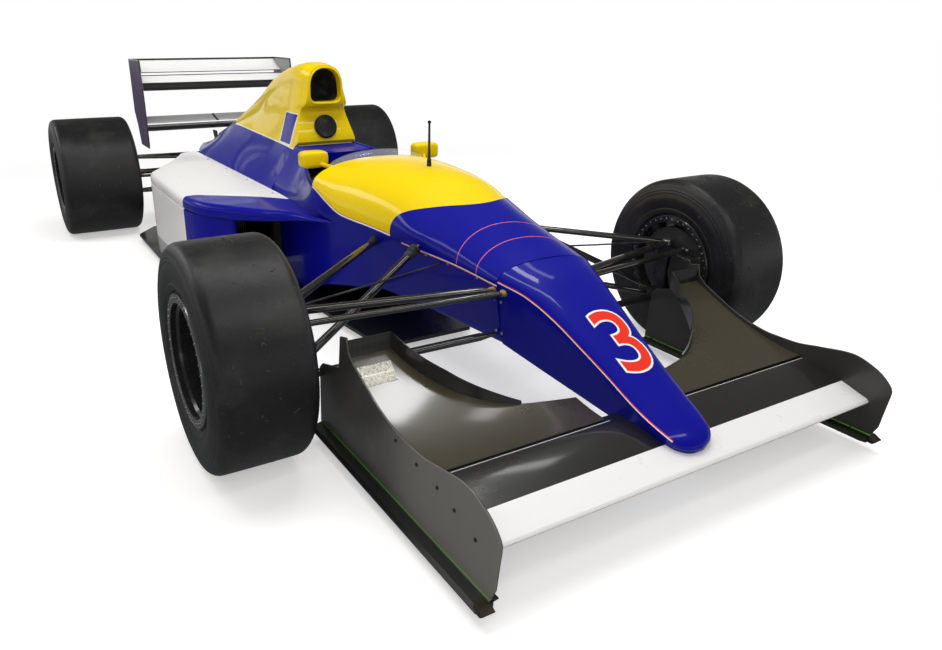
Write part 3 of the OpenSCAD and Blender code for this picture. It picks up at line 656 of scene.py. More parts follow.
def white_nose_band(g, color):
    """White leading band of the front wing, and a pale line behind its tip painted along the slot as the light
    seen through it.
    """
    x, y, _ = g.xyz()
    back = FRONT_AXLE_Y / 1000
    # painted light: a pale line along the main plane's trailing edge for the bright slot behind it
    line = g.both(g.between(y, -0.6565 + back, -0.6535 + back), g.above(g.math("ABSOLUTE", x), 0.128))
    color = g.mix(line, color, (0.50, 0.50, 0.47))
    return g.mix(g.above(-0.785 + back, y), color, WHITE)


def satin(name, color, rough, metal=0.0, wear=0.2, tone=(0.25, 0.24, 0.23), grain=300, **named):
    """Satin or metal surface with uneven sheen, light wear and a fine grain."""
    g = Finish(name)
    cloud = g.range(g.noise(12, 4, 0.65, seed=1.5), 0.45, 0.75)
    shade = g.mix(g.both(cloud, wear), color, tone)
    r = g.blend(g.noise(25, 3, 0.6, seed=6.0), max(rough - 0.1, 0.05), min(rough + 0.12, 1.0))
    return g.done(shade, r, metal, g.bump(g.noise(grain, 2, 0.5), 0.12, 0.0004), **named)


def rubber():
    """Worn slick tread: matt, with fine crumbs and scuffs."""
    g = Finish("tyre_rubber")
    pick = g.noise(130, 4, 0.7, seed=2.0)
    crumbs = g.range(g.noise(55, 3, 0.65, seed=8.0), 0.64, 0.72)
    scuff = g.range(g.noise(6, 5, 0.7, seed=3.0), 0.45, 0.8)
    color = g.mix(g.both(scuff, 0.8), (0.0045, 0.0045, 0.0048), (0.030, 0.028, 0.026))
    color = g.mix(g.both(crumbs, 0.45), color, (0.052, 0.049, 0.043))
    rough = g.blend(pick, 0.32, 0.54)
    height = g.math("ADD", g.both(pick, 0.4), g.both(crumbs, 0.8))
    return g.done(color, rough, normal=g.bump(height, 0.75, 0.0020), Specular_IOR_Level=0.75)


NOSE_PAINT, TUB_PAINT, HUMP_PAINT = nose_paint(), tub_paint(), hump_paint()
COWL_PAINT, COVER_PAINT, POD_PAINT = cowl_paint(), cover_paint(), pod_paint()
BLUE_PAINT = plain_paint("blue_paint", BLUE)
YELLOW_PAINT = plain_paint("yellow_paint", YELLOW, 0.03)
WHITE_PAINT = plain_paint("white_paint", WHITE)
RED_PAINT = plain_paint("red_paint", RED)
CARBON = carbon("carbon_weave")
# the front wing's carbon is a darker copy of the flaps' carbon, darkened as painted shade
SHADED_WING_CARBON = carbon("wing_carbon_shaded", (0.006, 0.006, 0.005), white_nose_band, pale=(0.016, 0.015, 0.012))
DARK_CARBON = carbon("dark_carbon", (0.006, 0.006, 0.006), gloss=0.6, pale=(0.018, 0.017, 0.015))
TUBE_STEEL = satin("tube_steel", (0.010, 0.0095, 0.008), 0.20, 0.3, 0.30, (0.05, 0.042, 0.026), 80,
                   Coat_Weight=1.0, Coat_Roughness=0.04, Coat_IOR=1.7)
BLACK_METAL = satin("black_metal", (0.020, 0.020, 0.021), 0.35, 0.3)
BARE_METAL = satin("bare_metal", (0.42, 0.42, 0.41), 0.32, 1.0, 0.25, (0.20, 0.19, 0.17))
BRASS = satin("brass", (0.62, 0.42, 0.14), 0.28, 1.0, 0.2, (0.3, 0.2, 0.07))
WHEEL_BLACK = satin("wheel_black", (0.016, 0.016, 0.017), 0.25, 0.2, 0.15, (0.08, 0.075, 0.07),
                    Coat_Weight=0.6, Coat_Roughness=0.1)
LIP_METAL = satin("lip_metal", (0.30, 0.30, 0.30), 0.25, 0.9, 0.2, (0.12, 0.12, 0.12))
BLACK_PAD = satin("black_pad", (0.012, 0.012, 0.012), 0.85, grain=900)
BOOT_RUBBER = satin("boot_rubber", (0.015, 0.015, 0.015), 0.6)
# near-black stand-in for the shade inside the intake mouth: painted shade
PAINTED_SHADE_INSIDE = satin("painted_shade_inside", (0.010, 0.010, 0.011), 0.7)
TYRE = rubber()
ROLLED_RUBBER = satin("rolled_rubber", (0.040, 0.038, 0.036), 0.50)


# ---------------------------------------------------------------- nose and body

# Each row: place along the car, low edge (half width, height), side (half width, height), height on top.
NOSE_ROWS = [
    (-838, 14, 172, 20, 180, 188), (-828, 36, 164, 46, 184, 199), (-805, 58, 160, 69, 197, 215),
    (-700, 76, 166, 89, 241, 266), (-600, 82, 176, 97, 290, 320), (-500, 92, 190, 109, 340, 376),
    (-400, 105, 206, 124, 390, 430), (-300, 125, 228, 146, 430, 476), (JOINT_Y, 150, 254, 176, 452, 505)]
# The same for the tub: half width and height of its low edge, its middle and its rim.
TUB_ROWS = [
    (JOINT_Y, 150, 254, 170, 380, 176, 452), (0, 160, 248, 190, 400, 198, 468),
    (200, 180, 245, 215, 400, 226, 475), (450, 215, 239, 250, 400, 262, 488),
    (620, 245, 205, 272, 400, 284, 492), (860, 275, 150, 300, 455, 302, 563),
    (1050, 280, 85, 294, 455, 255, 597), (1254, 276, 45, 285, 455, 168, 632),
    (1420, 272, 45, 277, 455, 152, 640)]
HUMP_ROWS = [(JOINT_Y, 505), (0, 562), (200, 620), (330, 664), (450, 677), (620, 682), (740, 677), (860, 663)]
TIP_Z = 181.0
RING_STEPS = 56

TUB = laws(TUB_ROWS)
NOSE = laws(NOSE_ROWS)
HUMP = laws(HUMP_ROWS)[0]


def arc_corner(w, z, r):
    """Rounded low corner of a section."""
    return [(w - r + r * math.sin(a), z + r - r * math.cos(a)) for a in np.linspace(0, math.pi / 2, 5)]


def arch(w, z0, z1, power, steps=18):
    """Left half of an arch from its foot at (w, z0) up to the middle at z1."""
    return [(w * max(math.cos(a), 0.0) ** power, z0 + (z1 - z0) * math.sin(a) ** power)
            for a in np.linspace(0, math.pi / 2, steps + 1)]


def whole(half, y):
    """Full ring from the outline of its left half, bottom to top."""
    left = [(p[0], y, p[1]) for p in half]
    return np.array(left + [(-p[0], y, p[1]) for p in reversed(half) if p[0] > 1e-6])


def runs(half, y, guide):
    """Map of a full ring: signed distance from the guiding point, and the place along the car."""
    d = np.concatenate([[0], np.cumsum([math.dist(a, b) for a, b in zip(half, half[1:])])])
    d = (d - d[guide]) / 1000
    v = frame_y(y)
    return [(t, v) for t in d] + [(t, v) for t, p in zip(reversed(d), reversed(half)) if p[0] > 1e-6]


def nose():
    """Nose cone, closed by a short rounded tip."""
    rings, uv = [], []
    tip = [(-838, 0.02), (-837, 0.35), (-834.5, 0.6), (-831, 0.82)]
    ys = [t[0] for t in tip] + list(spaced(-828, JOINT_Y - 1.5, 10))
    for y in ys:
        k = dict(tip).get(y, 1.0)
        w_low, z_low, w, z_side, z_top = [law(max(y, -828)) for law in NOSE]
        half = [(0, z_low)] + [(w_low * t, z_low) for t in (0.4, 0.8)]
        half += arc_corner(w_low, z_low, min(16, w_low * 0.4))
        x0, z0 = half[-1]
        half += [(x0 + (w - x0) * t, z0 + (z_side - z0) * t) for t in (0.2, 0.4, 0.6, 0.8)]
        guide = len(half)
        half += arch(w, z_side, z_top, 0.80)
        if k < 1:
            half = [(p[0] * k, TIP_Z + (p[1] - TIP_Z) * k) for p in half]
        rings.append(whole(half, y))
        uv += runs(half, y, guide)
    ob = loft("nose_skin", rings, uv=uv, smooth=40)
    return finish_piece(ob, NOSE_PAINT, replaces=("nose_cone",))


def tub_outline(y, d):
    """Left half of the tub's section, bottom to rim, drawn in by d."""
    w_low, z_low, w_mid, z_mid, w_rim, z_rim = [law(y) for law in TUB]
    half = [(0, z_low + d), ((w_low - d) * 0.5, z_low + d)] + arc_corner(w_low - d, z_low + d, 24)
    a, b, c = np.array(half[-1]), np.array((w_mid - d, z_mid)), np.array((w_rim - d, z_rim))
    for t in np.linspace(0.1, 0.86, 7):
        half.append(tuple(a + (b - a) * t))
    p, q = a + (b - a) * 0.88, b + (c - b) * 0.18
    for t in np.linspace(0, 1, 5):
        half.append(tuple((1 - t) ** 2 * p + 2 * t * (1 - t) * b + t * t * q))
    for t in np.linspace(0.3, 1, 8):
        half.append(tuple(b + (c - b) * t))
    return half


def tub():
    """Open tub with a rolled rim, and its two bulkheads."""
    rings, uv = [], []
    for y in spaced(JOINT_Y + 1.5, FIREWALL_Y, 14):
        out, lining = tub_outline(y, 0), tub_outline(y, 16)
        top, inner = out[-1], lining[-1]
        lip = [(top[0] + (inner[0] - top[0]) * (1 - math.cos(a)) / 2, top[1] + 5 * math.sin(a))
               for a in np.linspace(0.4, math.pi - 0.4, 4)]
        half_out = out + lip[:2]
        half_in = lining + lip[:1:-1]
        ring = ([(-p[0], y, p[1]) for p in reversed(half_out[1:])] + [(p[0], y, p[1]) for p in half_out]
                + [(p[0], y, p[1]) for p in reversed(half_in)] + [(-p[0], y, p[1]) for p in half_in[1:]])
        rings.append(np.array(ring))
        d = np.cumsum([0] + [math.dist(a, b) for a, b in zip(half_out, half_out[1:])])
        d = (d[len(out) - 1] - d) / 1000
        v = frame_y(y)
        uv += [(t, v) for t in reversed(d[1:])] + [(t, v) for t in d] + [(1, v)] * (2 * len(half_in) - 1)
    ob = wall_loft("tub_skin", rings, uv=uv, smooth=30)
    finish_piece(ob, TUB_PAINT, replaces=("monocoque",))
    for name, y0, material in (("front_bulkhead", JOINT_Y + 2, DARK_CARBON),
                               ("rear_bulkhead", FIREWALL_Y - 18, BLACK_METAL)):
        half = tub_outline(y0, 8)
        rim = half + [(0, half[-1][1])]
        bulk = loft(name, [whole(rim, y0), whole(rim, y0 + 15)])
        finish_piece(bulk, material, replaces=("monocoque",))


def bulge(y, a):
    """The leg cover swells over the pushrods just ahead of the cowl."""
    return 15 * bell((y - 215) / 95) * bell((a - 0.30) / 0.30)


def hump_end(x):
    """Rear edge of the leg cover: a shallow vee, furthest forward in the middle."""
    return 142 + 0.0029 * x * x


def arch_point(y, a, lift, swell):
    w, z0, z1 = TUB[4](y) + lift, TUB[5](y), HUMP(y) + lift
    c, s = max(math.cos(a), 0.0), math.sin(a)
    out = bulge(y, a) if swell else 0.0
    return w * c ** 0.9 + out * c, z0 + (z1 - z0) * s ** 0.9 + out * s * 0.4


def arched_piece(name, y_start, y_stop, material, node, lift, swell):
    """Thin arched cover standing on the tub's rim between two laws of its ends across the car."""
    steps, thick = 30, 8
    rows = max(2, int((y_stop(0) - y_start(0)) / 12))
    rings, uv = [], []
    for j in range(rows + 1):
        half, inner = [], []
        for i in range(steps + 1):
            a = i / steps * math.pi / 2
            y = 300.0
            for _ in range(3):
                x = arch_point(y, a, lift, swell)[0]
                y = y_start(x) + (y_stop(x) - y_start(x)) * j / rows
            x, z = arch_point(y, a, lift, swell)
            half.append((x, y, z))
            base = TUB[5](y)
            shrink = 1 - thick / max(math.hypot(x, z - base), thick + 1)
            inner.append((x * shrink, y, base + (z - base) * shrink))
        ring = half + [(-x, y, z) for x, y, z in reversed(half[:-1])]
        back = [(-x, y, z) for x, y, z in inner] + inner[-2::-1]
        rings.append(np.array(ring + back))
        d = np.concatenate([[0], np.cumsum([math.dist(p, q) for p, q in zip(half, half[1:])])]) / 1000
        v = [frame_y(p[1]) for p in half]
        uv += list(zip(d, v)) + list(zip(d[:-1][::-1], v[:-1][::-1])) + [(1, 0)] * len(back)
    ob = wall_loft(name, rings, uv=uv, smooth=35)
    return finish_piece(ob, material, replaces=(node,))


def covers():
    arched_piece("leg_cover", lambda x: JOINT_Y + 1.5, lambda x: hump_end(x) - 1.2, HUMP_PAINT,
                 "suspension_cover", 1.5, True)
    arched_piece("cowl_skin", lambda x: hump_end(x) + 1.2, lambda x: COWL_REAR, COWL_PAINT,
                 "cockpit_cowl", 0.0, False)


# ---------------------------------------------------------------- engine cover and intake

def along(t):
    """Place along the engine cover: 0 at its front, 1 at its end."""
    return FIREWALL_Y + t * (COVER_END - FIREWALL_Y)


H = INTAKE_H
COVER_ROWS = [
    (FIREWALL_Y, 150, 640, 84, H - 112, H - 10), (along(0.05), 148, 640, 97, H - 100, H),
    (along(0.16), 140, 638, 84, H - 110, H - 22), (along(0.31), 126, 636, 62, H - 165, H - 78),
    (along(0.51), 108, 634, 42, H - 290, H - 206), (along(0.66), 94, 624, 34, H - 350, H - 296),
    (along(0.83), 86, 560, 40, 580, 604), (COVER_END, 74, 478, 44, 500, 520)]
COVER = laws(COVER_ROWS)
COVER_BASE = smooth_curve([FIREWALL_Y, along(0.6), along(0.78), COVER_END], [277, 277, 262, 150])
FACE = smooth_curve([455, 640, 656, 788, 802, 824, 850, 1010],
                    [1421, 1421, 1400, 1437, 1434, 1396, 1391, 1396])


def cover_half(y):
    """Left half of the engine cover's section: flat foot, hollow flank, round spine."""
    w_belt, z_belt, w_crown, z_crown, z_spine = [law(y) for law in COVER]
    base = COVER_BASE(y)
    sag = 18 * min(1.0, max(0.0, (y - FIREWALL_Y) / 140))
    half = [(0, DECK_Z - 6), (base * 0.6, DECK_Z - 6), (base, DECK_Z - 6)]
    a, b = (base, DECK_Z), (w_belt, z_belt)
    for t in np.linspace(0, 1, 12):
        half.append((a[0] + (b[0] - a[0]) * t - sag * math.sin(math.pi * t), a[1] + (b[1] - a[1]) * t))
    for t in np.linspace(0.04, 0.97, 30):
        half.append((b[0] + (w_crown - b[0]) * t, b[1] + (z_crown - b[1]) * t))
    half += arch(w_crown, z_crown, z_spine, 0.8, 16)
    return half


def engine_cover():
    """Engine cover with a steep front face, bored for the intake."""
    rings = []
    ys = list(spaced(FIREWALL_Y + 1, 1500, 13)) + list(spaced(1525, COVER_END, 25))
    for y in ys:
        lean = max(0.0, 1 - (y - FIREWALL_Y) / 150)
        ring = whole(cover_half(y), y)
        for p in ring:
            p[1] += lean * (FACE(p[2]) - FIREWALL_Y - 1)
        rings.append(ring)
    n, m = len(rings[0]), len(rings)
    faces = skin(n, m)
    for base in (0, (m - 1) * n):
        loop = list(range(base, base + n))
        faces.append((loop[0], loop[1], loop[-1]))
        for i in range(1, n // 2 - 1):
            faces.append((loop[i], loop[i + 1], loop[n - i - 1], loop[n - i]))
        k = n // 2 - 1
        faces.append((loop[k], loop[k + 1], loop[k + 2]))
    ob = make_mesh("engine_cover_skin", np.concatenate(rings), faces, 40)
    bevel(ob, 9, 3, 50)
    baked(ob)
    hole = loft("hole", [mouth_ring(*row) for row in (
        (1360, 76, 829, 984), (1420, 76, 829, 984), (1480, 62, 842, 955), (1560, 50, 850, 935))], smooth=50)
    cut(ob, hole)
    finish_piece(ob, COVER_PAINT, replaces=("engine_cover",))


def mouth_ring(y, w, low, high):
    """Outline of the intake's mouth: round on top, square below, a little narrower towards the top."""
    mid, half = (low + high) / 2, (high - low) / 2
    ring = []
    for a in np.linspace(0, 2 * math.pi, RING_STEPS, endpoint=False):
        c, s = math.cos(a), math.sin(a)
        k = 2.0 / (2.3 if s > 0 else 5.0)
        x = w * math.copysign(abs(c) ** k, c)
        z = mid + half * math.copysign(abs(s) ** k, s)
        ring.append((x * (1.0 - 0.05 * (z - mid) / half), y, z))
    return np.array(ring)


def intake():
    """Lip of the intake, its duct lined and closed at the back in near-black as painted shade, and the low deck
    in front of it.
    """
    rings = [mouth_ring(*row) for row in (
        (1440, 79, 822, 988), (1399, 80.5, 820, 989), (1391, 79.5, 822, 988), (1388.5, 77, 826, 985),
        (1389, 74.5, 830, 982), (1393, 73, 833, 980), (1402, 72.5, 834.5, 979), (1430, 72, 835, 978))]
    lip = loft("intake_lip", rings, caps=False, smooth=50)
    finish_piece(lip, YELLOW_PAINT, replaces=("engine_cover",))
    # painted shade: the duct is lined near-black and its back end closed, standing for the shade deep in the
    # mouth
    duct = [mouth_ring(*row) for row in (
        (1429, 72.4, 834.6, 978.4), (1470, 62, 845, 955), (1540, 50, 852, 935))]
    hole = loft("intake_duct", duct, caps=False, smooth=50)
    bm = bmesh.new()
    bm.from_mesh(hole.data)
    back_rim = [e for e in bm.edges if e.is_boundary and e.verts[0].co.y > 0.25]
    bmesh.ops.holes_fill(bm, edges=back_rim, sides=0)
    bmesh.ops.reverse_faces(bm, faces=bm.faces)
    bm.to_mesh(hole.data)
    bm.free()
    finish_piece(hole, PAINTED_SHADE_INSIDE, replaces=("engine_cover",))
    # low deck between the driver's head and the steep face
    rows = []
    for y in spaced(1246, 1408, 12):
        t = (y - 1246) / 162
        w, z = TUB[4](y) - 2, TUB[5](y)
        top = z - 4 + 2 * t
        rows.append(whole([(0, z - 40), (w - 14, z - 40), (w, z - 16), (w - 1, z - 5), (w - 6, z),
                           (w - 22, z + 1), (w * 0.6, top), (w * 0.3, top), (0, top)], y))
    deck = loft("head_deck", rows, smooth=40)
    finish_piece(deck, BLUE_PAINT, replaces=("engine_cover",))
    line = tube("face_line", [(x, FACE(643) - 0.5, 641) for x in np.linspace(-146, 146, 9)], 2.2, 8)
    finish_piece(line, WHITE_PAINT)


def headrest():
    y0, z0, y1, z1 = 1399, 661, 1436, 779
    slope = math.atan2(z1 - z0, y1 - y0)
    axis = Vector((0, -math.sin(slope), math.cos(slope)))
    profile = [(0, 0), (50, 0), (53, 3), (53.5, 10), (52.5, 17), (49, 21), (44, 22), (40, 19), (30, 17.5),
               (0, 17)]
    mid = (0, (y0 + y1) / 2, (z0 + z1) / 2)
    ob = turned("head_pad", profile, mid, axis, 72, 50, closed=False)
    finish_piece(ob, BLACK_PAD, replaces=("headrest",))


# ---------------------------------------------------------------- side pods and floor

def tub_side(y):
    """Half width of the tub where a side pod stands against it."""
    return max(TUB[2](y), TUB[4](y)) - 1.0


def rounded_plan(points, radius_of, steps=7):
    """Plan outline with each corner given its own radius."""
    out = []
    n = len(points)
    for i, r in enumerate(radius_of):
        a, b, c = (np.array(points[j % n], float) for j in (i - 1, i, i + 1))
        if r <= 0:
            out.append(tuple(b))
            continue
        u, v = (a - b) / np.linalg.norm(a - b), (c - b) / np.linalg.norm(c - b)
        ra = min(r, np.linalg.norm(a - b) * 0.48, np.linalg.norm(c - b) * 0.48)
        for t in np.linspace(0, 1, steps):
            out.append(tuple((1 - t) ** 2 * (b + u * ra) + 2 * t * (1 - t) * b + t * t * (b + v * ra)))
    return out


def slab(name, outline, z0, z1, round_top, round_low):
    """Plan outline between two heights, with its edges rounded."""
    pts = np.array(outline, float)
    n = len(pts)
    area = 0.5 * sum(pts[i][0] * pts[(i + 1) % n][1] - pts[(i + 1) % n][0] * pts[i][1] for i in range(n))
    normal = []
    for i in range(n):
        e1, e2 = pts[i] - pts[i - 1], pts[(i + 1) % n] - pts[i]
        n1 = np.array([-e1[1], e1[0]]) / max(np.linalg.norm(e1), 1e-6)
        n2 = np.array([-e2[1], e2[0]]) / max(np.linalg.norm(e2), 1e-6)
        v = n1 + n2
        v /= max(np.linalg.norm(v), 1e-6)
        normal.append(v * (1 if area > 0 else -1) / max(0.5, v @ n1))
    normal = np.array(normal)
    levels = [(round_low + 6, z0)]
    levels += [(round_low * (1 - math.sin(a)), z0 + round_low * (1 - math.cos(a)))
               for a in np.linspace(0, math.pi / 2, 5)]
    levels += [(round_top * (1 - math.cos(a)), z1 - round_top * (1 - math.sin(a)))
               for a in np.linspace(0, math.pi / 2, 9)]
    levels.append((round_top + 6, z1))
    rings = [[(*(pts[i] + normal[i] * inset), z) for i in range(n)] for inset, z in levels]
    return loft(name, np.array(rings), smooth=35)


def cut(ob, cutter):
    mod = ob.modifiers.new("cut", "BOOLEAN")
    mod.operation = "DIFFERENCE"
    mod.solver = "EXACT"
    mod.object = cutter
    baked(ob)
    bpy.data.objects.remove(cutter)
    ob.data.shade_smooth()
    ob.data.set_sharp_from_angle(angle=math.radians(30))
    return ob


POD_START, POD_REAR, POD_TAIL = 1060.0, WHEELBASE - 766, WHEELBASE - 166
POD_HALF, INLET_Z = 680.0, 165.0


def pod():
    """Side pod: the deck runs forward along the tub over the open inlet."""
    y0, half, k = POD_START, POD_HALF, 7
    tail = [(half, POD_REAR - 80), (half - 8, POD_REAR), (480, POD_REAR + 340), (372, POD_TAIL)]
    under = [(tub_side(y), y) for y in np.linspace(FIREWALL_Y, 1290, k)]
    over = [(tub_side(y) - 3, y) for y in np.linspace(FIREWALL_Y, 690, k)]
    body = [(278, POD_TAIL), (278, FIREWALL_Y)] + under[1:] + [
        (360, 1262), (430, 1232), (500, 1186), (540, 1150), (655, 1300), (676, 1440), (half, 1560)] + tail
    deck = [(278, POD_TAIL), (278, FIREWALL_Y)] + over[1:] + [
        (334, 800), (372, 935), (448, 1000), (548, 1130), (655, 1285), (676, 1430), (half, 1560)] + tail
    radius = [0, 0] + [0] * (k - 1) + [60, 70, 60, 30, 80, 60, 60] + [120, 60, 200, 60]
    low, top = (rounded_plan(p, radius, 9) for p in (body, deck))
    low, top = np.array(low), np.array(top)
    n = len(low)
    area = sum(top[i][0] * top[(i + 1) % n][1] - top[(i + 1) % n][0] * top[i][1] for i in range(n))
    side = 1 if area > 0 else -1

    def inward(pts, inset):
        """Draws the outline in, except where it stands against the tub."""
        out = []
        for i in range(n):
            if pts[i][0] < 300 and pts[i][1] > 1380 or i < k + 1:
                out.append(pts[i])
                continue
            e = pts[(i + 1) % n] - pts[i - 1]
            normal = np.array([e[1], -e[0]]) / max(np.linalg.norm(e), 1e-6)
            out.append(pts[i] - normal * inset * side)
        return np.array(out)

    thin = smooth_curve([690, 800, 960, 1120], [0.12, 0.30, 0.75, 1.0])
    r_top, lip = 24, 52
    levels = [(low, 0, FLOOR_Z)] + [(low, 0, z) for z in (150, 260, 360, DECK_Z - lip - 4)]
    levels += [(top, 9, DECK_Z - lip - 3), (top, 3, DECK_Z - lip + 1), (top, 0, DECK_Z - lip + 8)]
    levels += [(top, r_top * (1 - math.cos(a)), DECK_Z - r_top * (1 - math.sin(a)))
               for a in np.linspace(0, math.pi / 2, 9)] + [(top, r_top + 8, DECK_Z)]
    rings = []
    for p, inset, z in levels:
        depth = np.array([thin(q[1]) if p is top else 1.0 for q in p])
        rings.append(np.column_stack([inward(p, inset), DECK_Z - (DECK_Z - z) * depth]))
    main = loft("pod_body", rings, smooth=35)
    duct = [(tub_side(1050) - 40, 640), (528, 640), (528, y0 + 200), (half - 70, y0 + 600),
            (half - 70, POD_REAR - 20), (500, POD_REAR + 200), (330, POD_REAR + 200), (330, 1340),
            (tub_side(1050) - 40, 1300)]
    plan = rounded_plan(duct, [0, 0, 40, 60, 40, 40, 20, 30, 0])
    bore = slab("duct_bore", plan, INLET_Z, DECK_Z - lip - 4, 24, 24)
    return cut(main, bore)


def pods():
    main = pod()
    for side, sign in (("left", 1), ("right", -1)):
        body = main if sign > 0 else mirrored(main, "right_pod_body")
        body.name = side + "_pod_body"
        finish_piece(body, POD_PAINT, replaces=(side + "_sidepod",))


# ---------------------------------------------------------------- wings

WING_FRONT, SLOT_Y, FLAP_IN, WING_HALF = -872.0, -648.0, 143.0, 662.0
FLAP_SQUARE, FLAP_BACK, FENCE_IN = 536.0, -232.0, 290.0
PLATE_T = 6.0


def smoothed(points, step):
    """Open outline through the points, rounded where it bends."""
    p = np.array(points, float)
    s = np.concatenate([[0], np.cumsum(np.linalg.norm(np.diff(p, axis=0), axis=1))])
    fx, fz = smooth_curve(s, p[:, 0]), smooth_curve(s, p[:, 1])
    return [(fx(t), fz(t)) for t in spaced(0, s[-1], step)]


def front_wing():
    back = [SLOT_Y - 12, SLOT_Y + 18]
    top = smooth_curve([WING_FRONT, -867, -845, -785] + back, [153, 159.5, 166, 184, 206, 205])
    low = smooth_curve([-862, -835, -765] + back, [144, 150, 172, 202.5, 203.5])
    ys = [WING_FRONT, -870.5, -867] + list(spaced(-862, SLOT_Y + 18, 12))
    outline = [(y, top(y)) for y in ys] + [(y, low(y)) for y in reversed(ys[3:])]
    outline += [(-868, 145.5), (-871, 148.5)]
    xs = [-WING_HALF, -400, -130, 130, 400, WING_HALF]
    rings = [np.array([(x, y, z) for y, z in outline]) for x in xs]
    ob = loft("front_plane", rings, smooth=40)
    finish_piece(ob, SHADED_WING_CARBON, replaces=("front_wing",))


FLAP_EDGE = smooth_curve([FLAP_IN, 241, 314, 375, 435, 485, 520, FLAP_SQUARE],
                         [-540, -521, -503, -471, -421, -351, -282, FLAP_BACK])


def flap_end(x):
    """Rear edge of the flap: square outboard, swept forward towards the nose."""
    return FLAP_EDGE(x) if x < FLAP_SQUARE else FLAP_BACK


def flap_z(y):
    """Height of the flap's upper side, rising ever faster to the back."""
    return 213 + 122 * (max(0.0, y - SLOT_Y) / 415) ** 1.7


def fence_h(x):
    """Height of the strip that stands on the flap's rear edge."""
    return 2 + 46 * min(1.0, max(0.0, (x - FENCE_IN) / 170)) ** 0.8


def flaps():
    """Front flaps with the upright strip along their rear edges."""
    xs = list(spaced(FLAP_IN, 300, 14)) + list(spaced(308, FLAP_SQUARE, 7))
    xs += list(spaced(540, WING_HALF - 0.5, 20))
    n = 14
    rings = []
    for x in xs:
        end = flap_end(x)
        ys = [SLOT_Y + (end - SLOT_Y) * i / n for i in range(n + 1)]
        upper = [(x, y, flap_z(y)) for y in ys]
        lower = [(x, y, flap_z(y) - 5 + 2 * (y - end) / (SLOT_Y - end)) for y in reversed(ys)]
        rings.append(np.array(upper + lower))
    flap = loft("left_flap", rings, smooth=40)
    bevel(flap, 1.2, 2, 60)
    fence = []
    for x in xs:
        if x < FENCE_IN:
            continue
        e, h = flap_end(x), fence_h(x)
        e2 = flap_end(min(x + 2, WING_HALF))
        t = np.array([2.0, e2 - e])
        t /= np.linalg.norm(t)
        back = np.array([-t[1], t[0]]) * 4
        z = flap_z(e)
        behind = (x + back[0], e + back[1])
        fence.append(np.array([(x, e, z - 5), (x, e, z + h), (*behind, z + h), (*behind, z - 5)]))
    strip = loft("left_fence", fence, smooth=40)
    for sign in (1, -1):
        a = flap if sign > 0 else mirrored(flap, "right_flap")
        b = strip if sign > 0 else mirrored(strip, "right_fence")
        finish_piece(a, CARBON, replaces=("front_flaps",))
        finish_piece(b, DARK_CARBON, replaces=("front_flaps",))


def plate_paint():
    """Worn dark side plate with a thin lime line along its foot and a scraped lower edge; its outer face is
    painted paler towards the front as painted light, and its inner face is a plain darker grey.
    """
    g = Finish("plate_paint")
    x, y, z = g.xyz()
    cloud = g.range(g.noise(9, 5, 0.7, seed=2.0), 0.4, 0.75)
    color = g.mix(g.both(cloud, 0.5), (0.060, 0.058, 0.052), (0.110, 0.105, 0.095))
    streak = g.range(g.noise(22, 4, 0.7, stretch=(1, 1, 7), seed=5.0), 0.60, 0.72)
    color = g.mix(g.both(streak, 0.25), color, (0.16, 0.16, 0.15))
    # painted light: the outer face grows paler towards the front, where it is lit
    front = g.range(g.math("MULTIPLY", y, -1.0), 1.64, 1.86)
    color = g.mix(front, color, (0.150, 0.142, 0.122))
    outer = g.above(g.math("ABSOLUTE", x), (WING_HALF + 3) / 1000)
    color = g.mix(outer, (0.030, 0.028, 0.026), color)
    line = g.between(z, 0.0555, 0.0590)
    color = g.mix(g.both(line, g.above(0.62, g.noise(30, 3, 0.7, seed=8.0))), color, (0.16, 0.50, 0.03))
    rough = g.blend(g.noise(14, 4, 0.6, seed=6.0), 0.30, 0.50)
    return g.done(color, rough, normal=g.bump(g.noise(200, 2, 0.5), 0.1, 0.0004), Coat_Weight=0.35,
                  Coat_Roughness=0.15)


def front_plates():
    """Side plates of the front wing, each with its foot, rail and worn bronze toe."""
    outer = [(-919, 150), (-925, 205), (-903, 235), (-865, 258), (-800, 275), (-700, 260), (-615, 246),
             (-540, 245), (-470, 254), (-400, 273), (-330, 302), (-268, 330)]
    tall = [(-240, 352), (-229, 392), (-190, 382), (-175, 285), (-60, 252), (-40, 235), (-30, 50)]
    outline = smoothed(outer, 14) + tall + [(-893, 50), (-912, 90)]
    plate = prism("left_plate", outline, WING_HALF, WING_HALF + PLATE_T, smooth=40)
    bevel(plate, 1.5, 2)
    paint = plate_paint()
    foot = [(642, 50), (642, 47), (690, 40), (698, 33), (700, 33), (700, 37), (692, 45), (668, 51)]
    rings = [np.array([(x, y, z) for x, z in foot]) for y in spaced(-893, -30, 60)]
    sole = loft("left_foot", rings, smooth=30)
    rail = prism("left_foot_rail", [(-893, 50), (-893, 33), (-876, 30.5), (-30, 30.5), (-30, 50)], 655, 668)
    toe = prism("left_toe", [(-915, 40), (-893, 51), (-880, 51), (-880, 33), (-905, 31)], 664, 698)
    bevel(toe, 2, 2)
    for sign in (1, -1):
        for ob, finish, slot in ((plate, paint, "endplate_grey"), (sole, DARK_CARBON, "carbon"),
                                 (rail, DARK_CARBON, "carbon"), (toe, WORN_BRONZE, "bare_metal")):
            piece = ob if sign > 0 else mirrored(ob, ob.name.replace("left", "right"))
            if sign < 0 and ob.modifiers:
                bevel(piece, 1.5, 2)
            finish_piece(piece, finish, replaces=("front_endplates",))


WORN_BRONZE = satin("worn_bronze", (0.055, 0.042, 0.030), 0.45, 0.6, 0.5, (0.03, 0.027, 0.022))
REAR_Y = WHEELBASE + 500.0
REAR_HALF = 481.0


